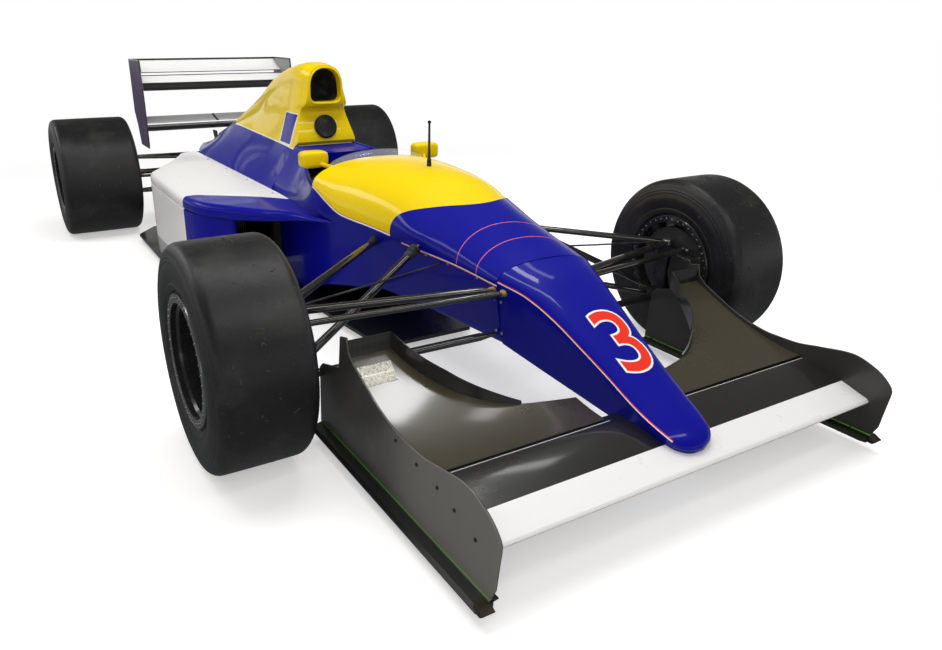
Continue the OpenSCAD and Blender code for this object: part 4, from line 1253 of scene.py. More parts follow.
def wing_outline(front, back, t, sag=18.0):
    """Cambered section sagging in the middle, from its rounded nose to a thin trailing edge."""
    n = 14
    f, b = np.array(front, float), np.array(back, float)
    top, low = [], []
    for i in range(n + 1):
        s = i / n
        mid = f + (b - f) * s - np.array([0, sag * math.sin(math.pi * s)])
        thick = t * (2.0 * math.sqrt(s) * (1 - s) ** 0.8 + 0.10 * s)
        top.append((mid[0], mid[1] + 0.55 * thick + 1.5 * s))
        low.append((mid[0], mid[1] - 0.45 * thick - 1.5 * s))
    return top + list(reversed(low[1:]))


def rear_white():
    """White wing skin with a black line along the slot and black under its nose, both painted shade."""
    g = Finish("rear_wing_paint")
    _, y, z = g.xyz()
    # painted shade: black under the main plane's nose, where shade falls below its leading edge
    dark = g.above(g.math("ADD", 0.800, g.math("MULTIPLY", g.math("SUBTRACT", y, 1.853), 0.30)), z)
    # painted shade: a black line for the shaded gap of the slot
    slot = g.between(y, frame_y(REAR_Y - 151), frame_y(REAR_Y - 141))
    color = g.mix(g.either(g.both(dark, g.above(2.05, y)), slot), WHITE, (0.012, 0.012, 0.012))
    return lacquer(g, color)


def beam_paint():
    """White lower wing, its white paler than the other whites as painted light, with a thin black line down its
    middle.
    """
    g = Finish("beam_paint")
    side = g.math("ABSOLUTE", g.xyz()[0])
    # painted light: the white is lifted above the other whites to make up for the shade of the rear wing above
    color = g.mix(g.above(0.008, side), (0.88, 0.87, 0.85), (0.015, 0.015, 0.015))
    return lacquer(g, color, 0.03)


def violet_plate():
    g = Finish("rear_plate_paint")
    blotch = g.range(g.noise(9, 4, 0.6, seed=4.0), 0.52, 0.66)
    color = g.mix(g.both(blotch, 0.35), (0.030, 0.006, 0.085), (0.20, 0.06, 0.20))
    # the inner faces are bare rather than violet, and their light grey is a painted highlight standing for lit
    # dark carbon
    side = g.math("ABSOLUTE", g.xyz()[0])
    return lacquer(g, g.mix(g.above(REAR_HALF / 1000 + 0.002, side), color, (0.28, 0.28, 0.27)), 0.08)


def rear_wings():
    span = (0.5 - REAR_HALF, REAR_HALF - 0.5)
    main = prism("rear_plane", wing_outline((REAR_Y - 330, 791), (REAR_Y - 140, 868), 26), *span, 50)
    flap = prism("rear_flap", wing_outline((REAR_Y - 148, 884), (REAR_Y - 4, 953), 14, 12), *span, 50)
    lip = prism("rear_gurney", [(REAR_Y - 6, 950), (REAR_Y - 2, 950), (REAR_Y - 2, 966), (REAR_Y - 6, 966)],
                *span)
    beam = prism("lower_plane", wing_outline((REAR_Y - 205, 577), (REAR_Y - 80, 609), 8, 5), *span, 50)
    under = wing_outline((REAR_Y - 330, 560), (REAR_Y - 190, 566), 34, 10)
    belly = prism("lower_plane_belly", under, *span)
    finish_piece(main, REAR_WHITE, replaces=("rear_wing",))
    finish_piece(flap, REAR_WHITE, replaces=("rear_wing",))
    finish_piece(lip, DARK_CARBON, replaces=("rear_wing",))
    finish_piece(beam, beam_paint(), replaces=("beam_wing",))
    finish_piece(belly, DARK_CARBON, replaces=("beam_wing",))
    plate = prism("left_rear_plate", [(REAR_Y - 352, 470), (REAR_Y - 356, 760), (REAR_Y - 336, 900),
                                      (REAR_Y - 322, 966), (REAR_Y, 966), (REAR_Y, 640), (REAR_Y - 60, 560),
                                      (REAR_Y - 110, 440), (REAR_Y - 340, 440)], REAR_HALF, REAR_HALF + PLATE_T)
    trim = prism("left_plate_trim", [(REAR_Y - 337, 900), (REAR_Y - 323, 967), (REAR_Y - 1, 967),
                                     (REAR_Y - 1, 959), (REAR_Y - 314, 959), (REAR_Y - 328, 900)],
                 REAR_HALF - 3, REAR_HALF + 6.5)
    paint = violet_plate()
    for sign in (1, -1):
        for ob, finish, slot in ((plate, paint, "violet_paint"), (trim, DARK_CARBON, "carbon")):
            piece = ob if sign > 0 else mirrored(ob, ob.name.replace("left", "right"))
            bevel(piece, 1.2, 2)
            finish_piece(piece, finish, replaces=("rear_endplates",))


REAR_WHITE = rear_white()


# ---------------------------------------------------------------- wheels

def tyre_profile(d, w, inner_w):
    """Slick tyre's section from bead to bead: (radius, place across the tyre)."""
    r, lip, bead = RIM_D / 2 + 0.4, RIM_D / 2 + 22, inner_w / 2 - 0.4
    R, half, crown = d / 2, w / 2, 30.0
    side = [(r, -bead), (lip, -bead), (lip + 5, -half + 12), (lip + 20, -half + 5), (lip + 24, -half + 6),
            (lip + 40, -half + 1.5), (lip + 60, -half), (R - 62, -half + 1), (R - 50, -half + 3.5),
            (R - 47, -half + 2.5), (R - 40, -half + 4.5), (R - 37, -half + 4), (R - 30, -half + 7)]
    turn = [(R - crown + crown * math.sin(a) - 0.6, -half + 7 + (crown + 2) * (1 - math.cos(a)))
            for a in np.linspace(0.25, math.pi / 2, 8)]
    flat = [(R - 0.3, -half * 0.55), (R, -half * 0.25), (R, 0)]
    one = side + turn + flat
    return one + [(a, -b) for a, b in reversed(one[:-1])]


def rim_profile(inner_w):
    """Rim's closed section: (radius, distance outwards)."""
    r, w = RIM_D / 2, inner_w / 2
    return [(r - 7, -w - 9), (r - 2, -w - 10), (r + 14, -w - 10), (r + 18, -w - 7), (r + 18, -w), (r, -w),
            (r, w), (r + 18, w), (r + 18, w + 7), (r + 14, w + 10), (r - 2, w + 10), (r - 7, w + 9),
            (r - 7, w - 6), (r - 12, w - 14), (r - 12, 30), (r - 9, 10), (r - 9, -w + 6)]


def spokes(name, centre, out, front, body, node):
    """Tapered wheel spokes, repeated about the hub."""
    rings = []
    for r, half, x0, x1 in ((44, 15, 14, 42), (90, 13, 12, 34), (130, 15, 9, 28), (154, 24, 6, 26)):
        section = ((x0, -0.8), (x0, 0.8), (x1 - 5, 1), (x1, 0.72), (x1, -0.72), (x1 - 5, -1))
        rings.append(np.array([(out * x, k * half, r) for x, k in section]))
    one = loft("spoke", rings, smooth=25)
    ring_of(name, one, 10 if front else 8, centre, WHEEL_BLACK, body, (node,))


def rim_rivets(name, centre, out, face, radius, count, body):
    one = turned("rivet", [(0, 0), (3.6, 0), (3.2, 2.4), (1.6, 3.4), (0, 3.6)], (out * face, 0, radius),
                 (out, 0, 0), 10, 60, closed=False)
    ring_of(name, one, count, centre, BARE_METAL, body)


def tread_crumbs(name, centre, radius, half, body, seed):
    """Rolled-up rubber left on the tread in short curls, none where the tyre stands."""
    rng = np.random.default_rng(seed)
    places, facings = [], []
    for _ in range(46):
        turn, x = rng.uniform(-2.8, 2.8), rng.uniform(-half, half)
        heading, bend = rng.uniform(0, 2 * math.pi), rng.uniform(-0.6, 0.6)
        for _ in range(rng.integers(1, 8)):
            n = (0, math.sin(turn), math.cos(turn))
            places.append((centre[0] + x, centre[1] + radius * n[1], centre[2] + radius * n[2]))
            facings.append(n)
            heading += bend
            x += 2.8 * math.cos(heading)
            turn += 2.8 * math.sin(heading) / radius
    studs(name, places, facings, 2.2, 1.9, ROLLED_RUBBER, body, sides=6)


def wheel(side, front):
    """Slick tyre, rim with its rivets and lip, spokes, hub and centre nut, all on one body."""
    sign = 1 if side == "left" else -1
    word = "front" if front else "rear"
    track, y = (FRONT_TRACK, 0.0) if front else (REAR_TRACK, WHEELBASE)
    d, w, inner = (FRONT_TYRE_D, 276, 240) if front else (REAR_TYRE_D, 420, 376)
    centre = (sign * track / 2, y, d / 2)
    body, rim = f"{side}_{word}_wheel", f"{side}_{word}_rim"

    def turn(name, profile, steps, smooth=32, closed=True):
        """Turned piece of this wheel: outward distances are mirrored on the right side."""
        return turned(f"{side}_{word}_{name}", [(r, sign * h) for r, h in profile], centre, steps=steps,
                      smooth=smooth, closed=closed)

    ob = turned(f"{side}_{word}_slick", tyre_profile(d, w, inner), centre, steps=160, smooth=22)
    finish_piece(ob, TYRE, body, (f"{side}_{word}_tyre",))
    tread_crumbs(f"{side}_{word}_crumbs", centre, d / 2 - 0.6, w / 2 - 55, body, 5 if front else 9)
    finish_piece(turn("barrel", rim_profile(inner), 96, 30), WHEEL_BLACK, body, (rim,))
    spokes(f"{side}_{word}_spokes", centre, sign, front, body, rim)
    hub = turn("hub", [(0, 6), (58, 6), (60, 12), (58, 36), (50, 46), (36, 50), (36, 44), (0, 44)], 48,
               closed=False)
    finish_piece(hub, WHEEL_BLACK, body, (rim,))
    w2, r2 = inner / 2, RIM_D / 2
    rim_rivets(f"{side}_{word}_rim_rivets", centre, sign, w2 + 9.6, r2 + 6, 40, body)
    rim_rivets(f"{side}_{word}_inner_rivets", centre, -sign, w2 + 9.6, r2 + 6, 40, body)
    edge = [(r2 + 13, w2 + 9.9), (r2 + 14.5, w2 + 11), (r2 + 17, w2 + 10.2), (r2 + 18.4, w2 + 7)]
    ring = turn("lip", edge, 96)
    finish_piece(ring, LIP_METAL, body)
    nut = turn("nut", [(0, 44), (27, 44), (30, 50), (30, 68), (26, 73), (17, 74), (15, 70), (0, 70)], 6, 30,
               closed=False)
    finish_piece(nut, BARE_METAL, body)


def wheels():
    for side in ("left", "right"):
        for front in (True, False):
            wheel(side, front)


# ---------------------------------------------------------------- front suspension

KING_X, KING_BACK = 770.5, 10.0
UPPER, LOWER = (KING_X, KING_BACK, 400), (KING_X, KING_BACK, 192)
UPPER_FRONT, UPPER_REAR = (166, -196, 431), (244, 424, 447)
ARM_END, RACK_END = (KING_X, -80, 392), (120, -240, 432)


def side_of(p, sign):
    """The left side's point, or its mirror image where the sign is -1."""
    return (p[0] * sign, p[1], p[2])


def toward(a, b, distance):
    """The point at a distance from a on the way to b."""
    a, b = np.array(a, float), np.array(b, float)
    return a + (b - a) * distance / np.linalg.norm(b - a)


def leg(name, a, b, r, body="root", replaces=(), flat=1.45):
    """Streamlined suspension tube with a round threaded end where it meets the car."""
    length = np.linalg.norm(np.array(b, float) - np.array(a, float))
    cuts = [0, 10, 34, 60, length - 62, length - 36, length - 12, length]
    pts = [toward(a, b, c) for c in cuts]
    radii = [r * 0.7, r * 0.7, r * 0.72, r, r, r * 0.72, r * 0.62, r * 0.62]
    ob = tube(name, pts, radii, 20, flat, across=(0, 1, 0.15))
    return finish_piece(ob, TUBE_STEEL, body, replaces)


def suspension():
    """Front wishbones, pushrods and track rods with their eyes, boots and brake lines."""
    for side, s in (("left", 1), ("right", -1)):
        upper, lower = side_of(UPPER, s), side_of(LOWER, s)
        mounts = (("upper_front", upper, UPPER_FRONT), ("upper_rear", upper, UPPER_REAR),
                  ("lower_front", lower, (138, -180, 282)), ("lower_rear", lower, (206, 430, 285)))
        for name, joint, m in mounts:
            leg(f"{side}_{name}_leg", joint, side_of(m, s), 10.5, replaces=("front_wishbones",))
        for name, joint in (("upper_eye", upper), ("lower_eye", lower)):
            ring = [(10.2, -11), (17, -11), (19.5, -8), (19.5, 8), (17, 11), (10.2, 11)]
            eye = turned(f"{side}_{name}", ring, joint, (0, 0, 1), 32)
            finish_piece(eye, BARE_METAL, replaces=("front_wishbones",))
        foot, top = side_of((KING_X - 58, KING_BACK, 229), s), side_of((214, 161, 491), s)
        leg(f"{side}_pushrod", foot, top, 11.5, replaces=("front_pushrods",), flat=1.2)
        lug = [(-2, 186), (22, 186), (20, 228), (14, 240), (6, 240), (0, 228)]
        bracket = prism(f"{side}_pushrod_lug", lug, s * (KING_X - 68), s * (KING_X - 46))
        finish_piece(bevel(bracket, 1.5, 2), BLACK_METAL, replaces=("front_wishbones",))
        # rubber boots where legs pass the skin
        for name, p, q, r, short in (("pushrod_boot", foot, top, 20, 30),
                                     ("rear_boot", upper, side_of(UPPER_REAR, s), 17, 8)):
            reach = math.dist(p, q) - short
            pts = [toward(p, q, reach - d) for d in (0, 6, 12, 20, 28, 36, 46, 52)]
            rad = [r, r * 1.05, r * 0.86, r * 0.98, r * 0.74, r * 0.82, r * 0.6, r * 0.5]
            boot = tube(f"{side}_{name}", pts, rad, 28)
            finish_piece(boot, BOOT_RUBBER)
        base = side_of(UPPER_FRONT, s)
        clevis = tube(f"{side}_clevis", [toward(base, upper, d) for d in (-6, 4, 12, 22, 26)],
                      [13, 13, 9, 9, 6], 24)
        finish_piece(clevis, BRASS)
        rack_end, arm_end = side_of(RACK_END, s), side_of(ARM_END, s)
        ball = tube(f"{side}_rack_boot", [toward(rack_end, arm_end, d) for d in (30, 36, 42, 50, 58)],
                    [16, 15, 12.5, 12, 9.5], 24)
        finish_piece(ball, BRASS, "rack")
        leg(f"{side}_track_rod", rack_end, arm_end, 8.5, "rack", ("track_rods",), flat=1.3)
        ring = [(9.2, -6), (14, -6), (15, -4), (15, 4), (14, 6), (9.2, 6)]
        eye = turned(f"{side}_track_eye", ring, arm_end, (0, 0, 1), 32)
        finish_piece(eye, BARE_METAL, "rack", ("track_rods",))
        line = tube(f"{side}_brake_line", [side_of(p, s) for p in (
            (160, 60, 452), (190, 64, 446), (300, 58, 436), (450, 44, 424), (600, 30, 413), (700, 22, 404),
            (742, 40, 380), (758, 60, 350))], 3.2, 10)
        finish_piece(line, BOOT_RUBBER)


def uprights():
    """Brake disc on each front wheel; caliper, web and brake duct on each knuckle."""
    for side, s in (("left", 1), ("right", -1)):
        knuckle, wheel_body = f"{side}_knuckle", f"{side}_front_wheel"
        c = (0, 0, FRONT_HUB_Z)
        rotor = [(58, 796), (139, 796), (139, 824), (58, 824)]
        ob = turned(f"{side}_brake_rotor", [(r, s * x) for r, x in rotor], c, steps=72)
        disc = satin(f"{side}_rotor_carbon", (0.03, 0.03, 0.03), 0.5, 0.2)
        finish_piece(ob, disc, wheel_body)
        corners = ((786, 92), (786, 146), (834, 146), (834, 92))
        rings = [np.array([(s * x, r * math.cos(a), FRONT_HUB_Z + r * math.sin(a)) for x, r in corners])
                 for a in np.linspace(math.radians(156), math.radians(235), 12)]
        caliper = loft(f"{side}_caliper", rings, smooth=30)
        metal = satin(f"{side}_caliper_metal", (0.16, 0.15, 0.13), 0.4, 0.8)
        finish_piece(bevel(caliper, 4, 2), metal, knuckle)
        plate = [(-52, 232), (56, 232), (70, 260), (60, 372), (30, 380), (-20, 380), (-40, 360), (-62, 300)]
        side_plate = prism(f"{side}_upright_web", plate, s * (KING_X + 6), s * (KING_X + 20))
        finish_piece(bevel(side_plate, 3, 2), BLACK_METAL, knuckle)
        duct = [(-150, 250), (-60, 236), (-40, 300), (-52, 380), (-132, 372), (-168, 320)]
        inlet = prism(f"{side}_brake_duct", duct, s * (KING_X - 40), s * (KING_X - 4))
        finish_piece(bevel(inlet, 5, 3), DARK_CARBON, knuckle)


# ---------------------------------------------------------------- cockpit, mirrors, antenna

def superquad(name, centre, size, power, steps=36):
    """Rounded box or ball: the lower the power, the squarer it is."""
    def p(v):
        return math.copysign(abs(v) ** power, v)

    rings = []
    for b in np.linspace(-math.pi / 2, math.pi / 2, steps // 2 + 1):
        rings.append(np.array([(centre[0] + size[0] * p(math.cos(b)) * p(math.cos(a)),
                                centre[1] + size[1] * p(math.sin(b)),
                                centre[2] + size[2] * p(math.cos(b)) * p(math.sin(a)))
                               for a in np.linspace(0, 2 * math.pi, steps, endpoint=False)]))
    ob = loft(name, rings, caps=False, smooth=60)
    bm = bmesh.new()
    bm.from_mesh(ob.data)
    bmesh.ops.remove_doubles(bm, verts=bm.verts, dist=1e-5)
    bmesh.ops.dissolve_degenerate(bm, edges=bm.edges, dist=1e-6)
    bmesh.ops.recalc_face_normals(bm, faces=bm.faces)
    bm.to_mesh(ob.data)
    bm.free()
    ob.data.shade_smooth()
    return ob


def mirrors():
    """Two small mirrors on arms from the cowl, their glass to the back."""
    x, y, z = 258, 944, 657
    for side, s in (("left", 1), ("right", -1)):
        shell = superquad(f"{side}_mirror_shell", (s * x, y, z), (57, 35, 33), 0.42)
        finish_piece(shell, YELLOW_PAINT, replaces=("mirrors",))
        glass = superquad(f"{side}_mirror_glass", (s * x, y + 33, z), (47, 3, 24), 0.35)
        finish_piece(glass, MIRROR)
        arm = tube(f"{side}_mirror_arm", [(s * 246, 926, 642), (s * 222, 882, 634), (s * 196, 836, 629)],
                   [6.5, 6, 7.5], 18, 1.4)
        finish_piece(arm, YELLOW_PAINT, replaces=("mirrors",))
        foot = turned(f"{side}_mirror_foot", [(0, -3), (15, -3), (14, 2), (9, 4), (0, 4)],
                      (s * 196, 836, 628), (s * 0.75, 0.1, 0.66), 32, closed=False)
        finish_piece(foot, YELLOW_PAINT)


def antenna():
    y = 472
    z = HUMP(y)
    mast = tube("aerial", [(0, y, z + h) for h in (0, 24, 26, 60, 152)], [9, 8, 6, 4.6, 3.8], 20)
    finish_piece(mast, BLACK_METAL, replaces=("antenna",))
    cap = superquad("aerial_cap", (0, y, z + 156), (6, 6, 6), 0.8, 20)
    finish_piece(cap, BLACK_METAL, replaces=("antenna",))


def screen():
    """Small clear screen along the cowl's rear edge, highest in the middle."""
    rings = []
    w, z0, z1 = TUB[4](COWL_REAR) - 4, TUB[5](COWL_REAR), HUMP(COWL_REAR)
    angles = np.linspace(math.radians(44), math.pi / 2, 20)
    for t in np.linspace(0, 1, 6):
        y, rise = COWL_REAR - 10 + 34 * t, 2 + 22 * math.sin(t * math.pi / 2)
        half = []
        for a in angles:
            grow = math.sin((a - angles[0]) / (math.pi / 2 - angles[0]) * math.pi / 2) ** 0.5
            half.append((w * math.cos(a) ** 0.9, z0 + (z1 - z0) * math.sin(a) ** 0.9 + rise * grow))
        out = [(p[0], y, p[1]) for p in half] + [(-p[0], y, p[1]) for p in reversed(half[:-1])]
        back = [(-p[0], y + 1.5, p[1] - 2.6) for p in half]
        back += [(p[0], y + 1.5, p[1] - 2.6) for p in reversed(half[:-1])]
        rings.append(np.array(out + back))
    ob = wall_loft("clear_screen", rings, smooth=40)
    finish_piece(ob, CLEAR, replaces=("windscreen",))


def mirror_glass():
    g = Finish("mirror_glass")
    return g.done(g.mix(g.both(g.noise(40, 3), 0.1), (0.80, 0.82, 0.84), (0.6, 0.6, 0.6)), 0.04, 1.0)


def clear_plastic():
    g = Finish("clear_plastic")
    g.done(g.mix(g.both(g.noise(30, 2), 0.2), (0.92, 0.94, 0.96), (0.80, 0.83, 0.86)), 0.08, 0.0, IOR=1.45)
    g.shader.inputs["Alpha"].default_value = 0.10
    g.shader.inputs["Coat Weight"].default_value = 1.0
    return g.mat


MIRROR, CLEAR = mirror_glass(), clear_plastic()


# ---------------------------------------------------------------- fasteners and small details

def body_studs():
    """Flush cap screws along the joints of nose, leg cover, cowl and deck."""
    places, facings = [], []

    def add(x, y, z, normal):
        for s in (1, -1):
            places.append((s * x, y, z))
            facings.append((s * normal[0], normal[1], normal[2]))

    for y in (JOINT_Y + 14, JOINT_Y - 14):
        for z in (300, 400):
            w = TUB[2](max(y, JOINT_Y)) if z > 380 else TUB[2](JOINT_Y) - 8
            add(w - 1, y, z, (1, 0, 0.1))
    for y in (-120, 20, 130):
        add(TUB[4](y) - 1.0, y, TUB[5](y) - 12, (1, 0, 0))
    for y in (1330, 1700, 2050, 2400):
        add(COVER_BASE(y) + 26, y, DECK_Z - 0.4, (0, 0, 1))
    studs("panel_screws", places, facings, 5.5, 2.4, BARE_METAL)


def plate_studs():
    """Screws through the side plates of both wings."""
    front = ((-840, 168), (-760, 190), (-690, 205), (-600, 214), (-500, 226), (-400, 250))
    rear = [(REAR_Y - back, z) for back, z in ((300, 800), (220, 830), (160, 862), (120, 890), (50, 925),
                                               (300, 556), (220, 560), (150, 590))]
    for name, x, spots, radius, height, material, slot in (
            ("front_plate_screws", WING_HALF + PLATE_T + 0.4, front, 5.0, 2.6, BLACK_METAL, "black_metal"),
            ("rear_plate_screws", REAR_HALF + PLATE_T + 0.6, rear, 4.5, 2.4, BARE_METAL, "bare_metal")):
        places = [(s * x, y, z) for s in (1, -1) for y, z in spots]
        facings = [(s, 0, 0) for s in (1, -1) for _ in spots]
        studs(name, places, facings, radius, height, material)


def foil_patch():
    """Crinkled heat foil taped over the outboard rear of one front flap."""
    rows, cols = 26, 44
    seed = np.random.default_rng(7)
    lift = seed.normal(0, 1, (rows + 2, cols + 2))
    pts = []
    for j in range(rows):
        for i in range(cols):
            x = 2 - WING_HALF + (WING_HALF - 560) * i / (cols - 1) * (1 - 0.10 * j / rows)
            y = -268 - 62 * j / (rows - 1)
            seam = 11 < j < 14
            crease = 0 if seam else 0.8 * lift[j, i] + 0.6 * lift[j + 1, i + 1]
            pts.append((x, y, flap_z(y) + 1.2 + crease))
    n = len(pts)
    top = [(j * cols + i, j * cols + i + 1, (j + 1) * cols + i + 1, (j + 1) * cols + i)
           for j in range(rows - 1) for i in range(cols - 1)]
    base = [(x, y, flap_z(y) - 0.5) for x, y, _ in pts]
    low = [tuple(reversed([n + k for k in f])) for f in top]
    rim = list(range(cols)) + [j * cols + cols - 1 for j in range(1, rows)]
    rim += [(rows - 1) * cols + i for i in range(cols - 2, -1, -1)]
    rim += [j * cols for j in range(rows - 2, 0, -1)]
    wall = [(a, b, b + n, a + n) for a, b in zip(rim, rim[1:] + rim[:1])]
    ob = make_mesh("heat_foil", pts + base, top + low + wall, smooth=5)
    finish_piece(ob, FOIL)


FOIL = satin("foil", (0.76, 0.73, 0.64), 0.36, 0.6, 0.3, (0.52, 0.46, 0.33), 900)


def case_ribs():
    """Cast ribs round the gear case, one behind another."""
    y0 = WHEELBASE - 196
    section = ((-114, 204), (-106, 196), (106, 196), (114, 204), (114, 416), (106, 424), (-106, 424),
               (-114, 416))
    rib = loft("rib", [np.array([(x, y, z) for x, z in section]) for y in (y0, y0 + 7)])
    slats("gear_case_ribs", rib, 6, (0, 56, 0), GEAR_CASE)


BEARING_X, BEARING_R = 716.0, 25.0


def drive_shafts():
    """Steel shafts with ribbed boots at both joints."""
    for side, s in (("left", 1), ("right", -1)):
        body, c = f"{side}_rear_wheel", (0, WHEELBASE, REAR_HUB_Z)
        rod = [(0, 72), (17, 72), (17.2, 112), (15, 120), (15, 560), (17, 590), (17, BEARING_X),
               (BEARING_R, BEARING_X), (BEARING_R, BEARING_X + 60), (19.5, BEARING_X + 60), (19.5, 880),
               (0, 880)]
        ob = turned(f"{side}_shaft", [(r, s * x) for r, x in rod], c, steps=40, closed=False)
        finish_piece(ob, TUBE_STEEL, body, (f"{side}_drive_shaft",))
        for word, x0, step in (("inner", 128, 1), ("outer", BEARING_X - 12, -1)):
            ridges = [(15.2, 0)]
            for k in range(4):
                ridges += [(44 - 6 * k, 6 + 16 * k), (36 - 6 * k, 14 + 16 * k)]
            ridges.append((15.2, 72))
            boot = turned(f"{side}_{word}_shaft_boot", [(r, s * (x0 + step * d)) for r, d in ridges], c,
                          steps=40, smooth=50)
            finish_piece(boot, BOOT_RUBBER, body)


GEAR_CASE = satin("gear_case", (0.24, 0.24, 0.23), 0.45, 0.8)


def radiator_fins():
    for side, s in (("left", 1), ("right", -1)):
        fin = prism("fin", [(1622, 180), (1626, 180), (1626, 396), (1622, 396)], s * 352, s * 354)
        slats(f"{side}_radiator_fins", fin, 24, (s * 9, 0, 0), BARE_METAL)


# ---------------------------------------------------------------- race numbers

def number(name, text, size, at, right, up, target, material, grow, lift):
    """Flat digit laid onto a skin: up and right are directions in the car's frame, metres."""
    curve = bpy.data.curves.new(name, "FONT")
    curve.body = text
    curve.size = size
    curve.align_x, curve.align_y = "CENTER", "CENTER"
    curve.offset = grow
    curve.resolution_u = 6
    ob = bpy.data.objects.new(name, curve)
    bpy.context.scene.collection.objects.link(ob)
    graph = bpy.context.evaluated_depsgraph_get()
    me = bpy.data.meshes.new_from_object(ob.evaluated_get(graph))
    bpy.data.objects.remove(ob)
    bm = bmesh.new()
    bm.from_mesh(me)
    bmesh.ops.remove_doubles(bm, verts=bm.verts, dist=1e-6)
    cuts = 14
    for axis in (0, 1):
        lo = min(v.co[axis] for v in bm.verts)
        hi = max(v.co[axis] for v in bm.verts)
        for i in range(1, cuts * 2):
            place = lo + (hi - lo) * i / (cuts * 2)
            normal = Vector((1, 0, 0)) if axis == 0 else Vector((0, 1, 0))
            bmesh.ops.bisect_plane(bm, geom=bm.verts[:] + bm.edges[:] + bm.faces[:], dist=1e-7,
                                   plane_co=normal * place, plane_no=normal)
    right, up = Vector(right).normalized(), Vector(up).normalized()
    up = (up - right * up.dot(right)).normalized()
    out = right.cross(up).normalized()
    tree = BVHTree.FromObject(target, bpy.context.evaluated_depsgraph_get())
    for v in bm.verts:
        p = Vector(at) + right * v.co.x + up * v.co.y
        hit = tree.ray_cast(p + out * 0.15, -out)[0]
        v.co = hit + out * lift if hit else p
    bm.to_mesh(me)
    bm.free()
    piece = bpy.data.objects.new(name, me)
    bpy.context.scene.collection.objects.link(piece)
    me.shade_smooth()
    finish_piece(piece, material)


def race_numbers(target):
    at = (0.014, frame_y(-545), 0.352)
    for name, grow, lift, material, slot in (("nose_number_rim", 0.0075, 0.0006, WHITE_PAINT, "white_paint"),
                                             ("nose_number", 0.0010, 0.0013, RED_PAINT, "red_lens")):
        number(name, "3", 0.30, at, (1, 0, 0), (0, 1, 0.45), target, material, grow, lift)


# ---------------------------------------------------------------- studio

def camera():
    """Low three-quarter view from the front left."""
    data = bpy.data.cameras.new("camera")
    cam = bpy.data.objects.new("camera", data)
    bpy.context.scene.collection.objects.link(cam)
    place = (-1.40165, -3.11643, 1.13831)
    yaw, pitch, roll = 0.5268, 0.3597, 0.0038
    ahead = Vector((math.sin(yaw) * math.cos(pitch), math.cos(yaw) * math.cos(pitch), -math.sin(pitch)))
    right = Vector((math.cos(yaw), -math.sin(yaw), 0))
    up = right.cross(ahead)
    right, up = right * math.cos(roll) + up * math.sin(roll), up * math.cos(roll) - right * math.sin(roll)
    cam.matrix_world = Matrix([*zip(right, up, -ahead, place), (0, 0, 0, 1)])
    data.sensor_width = 36.0
    data.lens = 28.474
    data.shift_x, data.shift_y = 0.0553, -0.0146
    data.clip_end = 100
    bpy.context.scene.camera = cam


def floor():
    """White ground that takes soft shadows and fades into the background further out."""
    bpy.ops.mesh.primitive_plane_add(size=60, location=(0, 0, 0))
    ob = bpy.context.object
    ob.name = "floor"
    g = Finish("floor")
    nodes, links = g.tree.nodes, g.tree.links
    out = nodes["Material Output"]
    ground = g.mix(g.both(g.noise(2.0, 3), 0.15), (0.78, 0.765, 0.745), (0.74, 0.725, 0.70))
    g.put(g.shader.inputs["Base Color"], ground)
    g.shader.inputs["Roughness"].default_value = 0.55
    g.shader.inputs["Specular IOR Level"].default_value = 0.2
    glow = nodes.new("ShaderNodeEmission")
    glow.inputs["Color"].default_value = (1.0, 0.995, 0.985, 1)
    glow.inputs["Strength"].default_value = 0.44
    add = nodes.new("ShaderNodeAddShader")
    links.new(g.shader.outputs[0], add.inputs[0])
    links.new(glow.outputs[0], add.inputs[1])
    x, y, _ = g.xyz()
    far = g.range(g.math("SQRT", g.math("ADD", g.math("MULTIPLY", x, x), g.math("MULTIPLY", y, y))), 2.6, 5.2)
    white = nodes.new("ShaderNodeEmission")
    white.inputs["Color"].default_value = (1, 1, 1, 1)
    white.inputs["Strength"].default_value = 1.0
    field = nodes.new("ShaderNodeMixShader")
    links.new(far, field.inputs[0])
    links.new(add.outputs[0], field.inputs[1])
    links.new(white.outputs[0], field.inputs[2])
    path = nodes.new("ShaderNodeLightPath")
    seen = g.math("MAXIMUM", path.outputs["Is Camera Ray"], path.outputs["Is Transmission Ray"])
    mix = nodes.new("ShaderNodeMixShader")
    links.new(seen, mix.inputs[0])
    links.new(g.shader.outputs[0], mix.inputs[1])
    links.new(field.outputs[0], mix.inputs[2])
    dull = nodes.new("ShaderNodeEmission")
    dull.inputs["Color"].default_value = (0.95, 0.97, 1.0, 1)
    dull.inputs["Strength"].default_value = 0.16
    mirror = nodes.new("ShaderNodeMixShader")
    links.new(path.outputs["Is Glossy Ray"], mirror.inputs[0])
    links.new(mix.outputs[0], mirror.inputs[1])
    links.new(dull.outputs[0], mirror.inputs[2])
    links.new(mirror.outputs[0], out.inputs[0])
    ob.data.materials.append(g.mat)


